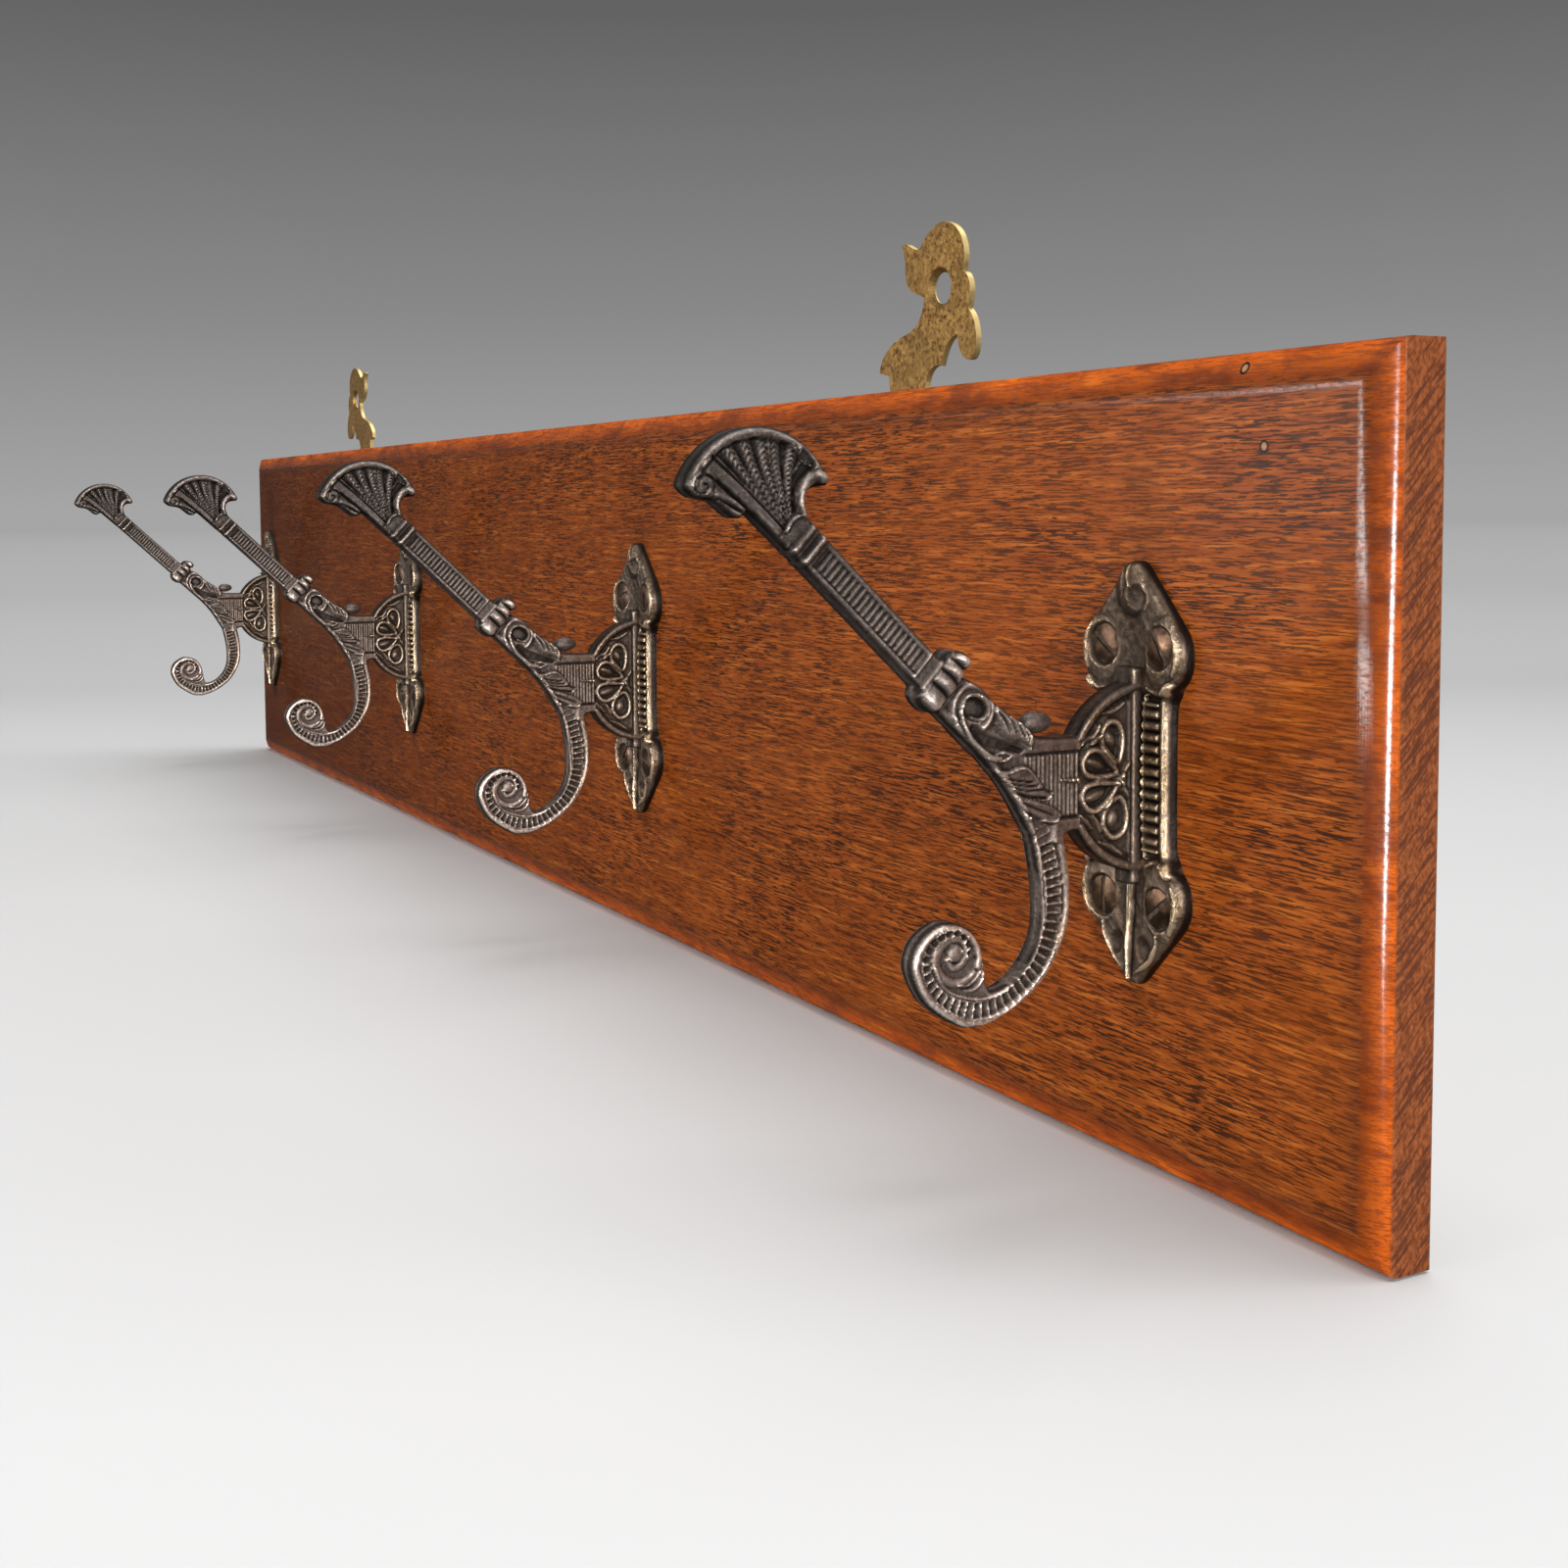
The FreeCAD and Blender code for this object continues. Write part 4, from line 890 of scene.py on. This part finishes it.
def cast_bronze():
    s = new_material("aged_cast_bronze")
    worn = s.add("Attribute", attribute_name="worn").outputs["Fac"]
    patina = s.add("Attribute", attribute_name="patina").outputs["Fac"]
    grain = s.noise((1100.0,) * 3, 5.0, 0.7)
    patch = s.noise((130.0,) * 3, 4.0, 0.6)
    height = s.math("ADD", worn, s.times(s.math("SUBTRACT", grain, 0.5), 1.1))
    level = s.spread(height, -0.75, 0.85)
    pewter = s.ramp(level, [
        (0.12, (0.02, 0.014, 0.011)), (0.38, (0.085, 0.066, 0.056)), (0.62, (0.22, 0.175, 0.152)),
        (0.9, (0.7, 0.59, 0.52))])
    golden = s.ramp(level, [
        (0.12, (0.012, 0.007, 0.004)), (0.38, (0.045, 0.028, 0.017)), (0.62, (0.11, 0.07, 0.042)),
        (0.9, (0.46, 0.33, 0.2))])
    share = s.math("ADD", s.times(patina, 0.85), s.ramp(patch, [(0.45, 0.0), (0.75, 0.4)]))
    colour = s.mix(share, pewter, golden)
    # painted shade by height: the colour is darkened and browned towards the shell at the top and
    # brightened towards the curl at the bottom
    rise = s.add("SeparateXYZ", {0: s.coords()}).outputs[2]
    painted_height_shade = s.ramp(s.math("MULTIPLY_ADD", rise, 9.0, 0.4), [
        (0.1, 1.35), (0.5, 0.9), (0.85, (0.47, 0.39, 0.34))])
    painted_height_shade = s.math("MAXIMUM", painted_height_shade, patina)
    colour = s.mix(1.0, colour, painted_height_shade, "MULTIPLY")
    rough = s.spread(level, 0.25, 0.85, 0.6, 0.3)
    rough = s.times(rough, s.math("SUBTRACT", 1.0, s.times(patina, 0.28)))
    return s.finish(
        [(grain, 0.6, 0.0003), (patch, 0.2, 0.0009)], base_color=colour, metallic=0.78, roughness=rough)


def coppery_screw():
    s = new_material("copper_toned_screw")
    grain = s.noise((1400.0,) * 3, 4.0, 0.6)
    patch = s.noise((300.0,) * 3, 3.0)
    colour = s.ramp(patch, [
        (0.3, (0.026, 0.015, 0.009)), (0.48, (0.085, 0.048, 0.029)), (0.72, (0.26, 0.145, 0.09))])
    colour = s.mix(s.ramp(grain, [(0.3, 0.6), (0.5, 0.0)]), colour, (0.07, 0.035, 0.02))
    return s.finish(
        [(grain, 0.2, 0.0001), (patch, 0.2, 0.0004)], base_color=colour, metallic=0.95, roughness=0.33)


def speckled_brass():
    s = new_material("satin_speckled_brass")
    speck = s.noise((1100.0,) * 3, 3.0, 0.7)
    patch = s.noise((90.0,) * 3, 4.0, 0.6)
    colour = s.ramp(speck, [
        (0.34, (0.07, 0.033, 0.008)), (0.48, (0.24, 0.13, 0.036)), (0.7, (0.4, 0.245, 0.082))])
    colour = s.mix(s.ramp(patch, [(0.35, 0.5), (0.6, 0.0)]), colour, (0.12, 0.07, 0.022))
    facing = s.add("SeparateXYZ", {0: s.coords("Normal")}).outputs[1]
    cut = s.spread(s.math("ABSOLUTE", facing), 0.75, 0.45)
    colour = s.mix(cut, colour, (0.62, 0.46, 0.2))
    rough = s.spread(speck, 0.3, 0.7, 0.55, 0.36)
    return s.finish([(speck, 0.2, 0.00012)], base_color=colour, metallic=0.95, roughness=rough)


def plain_steel():
    s = new_material("plain_steel")
    grain = s.noise((1200.0,) * 3, 4.0)
    colour = s.ramp(grain, [(0.3, (0.16, 0.155, 0.15)), (0.7, (0.42, 0.41, 0.4))])
    return s.finish([(grain, 0.15, 0.0001)], base_color=colour, metallic=0.95, roughness=0.4)


# ---- the board, with soft arrises


def board_mesh(low, high, run, drop):
    """The blank with its bevel; every arris is rounded, and the corners are mitred."""
    thickness = high[1] - low[1]

    def fillet(before, corner, after, radius, steps=5):
        a, b, c = (np.array(p, float) for p in (before, corner, after))
        u, v = (a - b) / np.linalg.norm(a - b), (c - b) / np.linalg.norm(c - b)
        t = np.linspace(0, 1, steps)[:, None]
        start, end = b + u * radius, b + v * radius
        return list((1 - t) ** 2 * start + 2 * t * (1 - t) * b + t**2 * end)

    side_back, side_front = (0.0, 0.0), (0.0, thickness - drop)
    bevel_top, face = (run, thickness), (run + 0.02, thickness)
    profile = [(0.0004, 0.0)] + fillet((0.004, 0.0), side_back, side_front, 0.0004, 4)
    profile += fillet(side_back, side_front, bevel_top, 0.0011, 7)
    profile += fillet(side_front, bevel_top, face, 0.0016, 7) + [(run + 0.004, thickness)]
    points, faces = [], []
    for inset, rise in profile:
        x0, x1, z0, z1 = low[0] + inset, high[0] - inset, low[2] + inset, high[2] - inset
        points += [(x, high[1] - rise, z) for x, z in ((x0, z0), (x1, z0), (x1, z1), (x0, z1))]
    for ring in range(len(profile) - 1):
        for k in range(4):
            a, b = ring * 4 + k, ring * 4 + (k + 1) % 4
            faces.append([a, b, b + 4, a + 4])
    last = (len(profile) - 1) * 4
    faces.append([last + k for k in range(4)])
    faces.append([3, 2, 1, 0])
    return points, faces


def cut_recesses(board, tabs, high):
    """Let the hangers' feet into the back of the board."""
    for name, (x, half, foot, depth) in tabs.items():
        cutter = bpy.data.meshes.new(name + "_cutter")
        shape = bmesh.new()
        bmesh.ops.create_cube(shape, size=1.0)
        size = Vector((2 * half, 2 * depth, high[2] - foot + 0.01))
        middle = Vector((x, high[1], foot + size.z / 2))
        place = Matrix.Translation(middle) @ Matrix.Diagonal((*size, 1))
        bmesh.ops.transform(shape, matrix=place, verts=shape.verts)
        shape.to_mesh(cutter)
        shape.free()
        tool = add_object(name + "_cutter", cutter)
        modifier = board.modifiers.new(name, "BOOLEAN")
        modifier.object = tool
        modifier.operation = "DIFFERENCE"
        modifier.solver = "EXACT"
        bpy.context.view_layer.update()
        cut = bpy.data.meshes.new_from_object(board.evaluated_get(bpy.context.evaluated_depsgraph_get()))
        board.modifiers.clear()
        board.data = cut
        bpy.data.objects.remove(tool)


def place_piece(name, mesh, node, material, at=(0.0, 0.0, 0.0)):
    piece = add_object(name, mesh)
    piece.location = at
    if not mesh.materials:
        mesh.materials.append(material)
    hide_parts(node)
    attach(piece, "root")
    return piece


HOOKS = ("hook_1", "hook_2", "hook_3", "hook_4")
SCREWS = ("upper_left", "upper_right", "lower_left", "lower_right")
RUN, DROP = 5.5 * MM, 2.6 * MM  # the bevel, along the face and down the side
RECESS_HALF_WIDTH, RECESS_PLAY = 7.7 * MM, 0.1 * MM

bronze, copper, brass, steel = cast_bronze(), coppery_screw(), speckled_brass(), plain_steel()
board_low, board_high = (Vector(corner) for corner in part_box("board"))

# board
wood = mahogany(board_high.x, board_high.z, RUN)
points, faces = board_mesh(board_low, board_high, RUN, DROP)
blank = bmesh.new()
vertices = [blank.verts.new(point) for point in points]
for face in faces:
    blank.faces.new([vertices[a] for a in face])
bmesh.ops.recalc_face_normals(blank, faces=blank.faces)
board_data = bpy.data.meshes.new("board_blank")
blank.to_mesh(board_data)
blank.free()
board = place_piece("board_varnished", board_data, "board", wood)
tabs = {}
for side in ("hanger_right", "hanger_left"):
    low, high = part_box(side + "_screw_lower")
    plate_low, plate_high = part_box(side)
    depth = plate_high[1] - plate_low[1]
    tabs[side] = ((low[0] + high[0]) / 2, RECESS_HALF_WIDTH, plate_low[2] - RECESS_PLAY, depth)
cut_recesses(board, tabs, board_high)
board.data.shade_smooth()
board.data.set_sharp_from_angle(angle=math.radians(35))
weighted = board.modifiers.new("even_shading", "WEIGHTED_NORMAL")
weighted.keep_sharp = True

# hooks, and the screws and hangers that the frame brings
casting = casting_mesh()
for hook in HOOKS:
    heads = [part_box(f"{hook}_screw_{corner}") for corner in SCREWS]
    centre = [sum(low[k] + high[k] for low, high in heads) / (2 * len(heads)) for k in range(3)]
    place_piece(hook + "_casting", casting, hook, bronze, (centre[0], board_low.y, centre[2]))
for name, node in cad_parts.items():
    looks = {"hanger_right": brass, "hanger_left": brass}.get(name)
    if looks is None and name.startswith("hanger"):
        looks = steel
    if looks is None and "_screw_" in name:
        looks = copper
    if looks is not None:
        for index in range(len(node.material_slots)):
            node.material_slots[index].material = looks

# ---- camera, floor and light

YAW, PITCH, ROLL = math.radians(62.75), math.radians(3.97), math.radians(-0.44)
EYE_POINT = (0.5935, -0.234, 0.0495)
FOCAL_LENGTH, SENSOR_WIDTH = 42.85, 36.0
SHIFT_X, SHIFT_Y = 0.0291, -0.0951
forward = Vector((-math.sin(YAW) * math.cos(PITCH), math.cos(YAW) * math.cos(PITCH), -math.sin(PITCH)))
level_right = Vector((math.cos(YAW), math.sin(YAW), 0.0))
level_up = level_right.cross(forward)
right = math.cos(ROLL) * level_right + math.sin(ROLL) * level_up
up = -math.sin(ROLL) * level_right + math.cos(ROLL) * level_up
lens = bpy.data.cameras.new("view")
lens.lens, lens.sensor_width = FOCAL_LENGTH, SENSOR_WIDTH
lens.shift_x, lens.shift_y = SHIFT_X, SHIFT_Y
lens.clip_start, lens.clip_end = 0.01, 100.0
camera = add_object("view", lens)
turn = Matrix((right, up, -forward)).transposed().to_4x4()
camera.matrix_world = Matrix.Translation(EYE_POINT) @ turn
bpy.context.scene.camera = camera


def floor_material():
    """Pale paper with a painted pool of light: brightest round the object and greyer towards the horizon.
    """
    s = new_material("pale_floor")
    away = s.add("VectorMath", {0: s.coords()}, operation="LENGTH").outputs[
        "Value"]
    reach = FLOOR_PAINTED_LIGHT[-1][0]
    stops = [(place / reach, painted_light_tone) for place, painted_light_tone in FLOOR_PAINTED_LIGHT]
    painted_light_tone = s.ramp(s.math("DIVIDE", away, reach), stops, smooth=False)
    paper = s.noise((60.0,) * 3, 3.0)
    return s.finish([(paper, 0.02, 0.001)], base_color=painted_light_tone, roughness=0.9, specular_ior_level=0.0)


def add_floor():
    data = bpy.data.meshes.new("floor")
    shape = bmesh.new()
    bmesh.ops.create_circle(shape, cap_ends=True, segments=96, radius=FLOOR_RADIUS)
    shape.to_mesh(data)
    shape.free()
    floor = add_object("floor", data)
    floor.location = (*FLOOR_CENTRE, board_low.z - FLOOR_GAP)
    floor.visible_glossy = False  # the varnish would go milky with the floor in it
    data.materials.append(floor_material())


def add_light(name, place, target, strength, softness):
    """Parallel light, so that no lamp leaves a bright patch on the floor."""
    data = bpy.data.lights.new(name, "SUN")
    data.energy = strength
    data.angle = math.radians(softness)
    lamp = add_object(name, data)
    lamp.rotation_euler = (Vector(target) - Vector(place)).to_track_quat("-Z", "Y").to_euler()


def add_world():
    """A grey graded backdrop for the camera, and a dim studio for everything else."""
    world = bpy.data.worlds.new("studio")
    bpy.context.scene.world = world
    s = Shader(world)
    height = s.add("SeparateXYZ", {0: s.coords("Generated")}).outputs["Z"]
    backdrop, studio = (
        s.add("Background", {"Color": s.ramp(height, tones, smooth=False)}).outputs[0]
        for tones in (BACKDROP_TONES, STUDIO_TONES))
    seen = s.add("LightPath").outputs["Is Camera Ray"]
    mix = s.add("MixShader", {0: seen, 1: studio, 2: backdrop})
    s.add("OutputWorld", {"Surface": mix.outputs[0]})


FLOOR_RADIUS, FLOOR_CENTRE, FLOOR_GAP = 40.0, (0.61, -0.24), 0.0005
# a few round tones: distance in metres or height of the ray, then brightness
# the floor's brightness is a painted pool of light round the object
FLOOR_PAINTED_LIGHT = ((0.25, 0.72), (0.8, 0.6), (1.4, 0.43), (3.0, 0.36), (12.0, 0.3))
BACKDROP_TONES = ((0.0, 0.38), (0.1, 0.25), (0.25, 0.125), (0.6, 0.06))
STUDIO_TONES = ((0.0, 0.06), (0.25, 0.07), (0.6, 0.25), (1.0, 0.35))
# name, where the light comes from, what it points at, strength, softness in degrees
LIGHTS = (
    ("sky", (-0.05, 0.22, 1.0), (0.0,) * 3, 2.2, 56.0),
    ("key", (0.17, -1.25, 0.05), (0.17, 0.0, 0.0), 2.3, 9.0),
    ("left", (-0.6, -1.05, 0.03), (0.38, 0.0, 0.0), 0.65, 12.0),
    ("fill", (1.45, -0.5, 0.15), (0.3, -0.05, 0.0), 3.7, 20.0),
    ("end", (1.5, -0.05, 0.35), (0.38, 0.0, 0.0), 0.6, 16.0),
    ("rear", (0.6, 1.2, 0.7), (0.0, 0.0, 0.0), 0.6, 25.0),
)

bpy.context.scene.view_settings.view_transform = "Standard"
add_floor()
add_world()
for light in LIGHTS:
    add_light(*light)
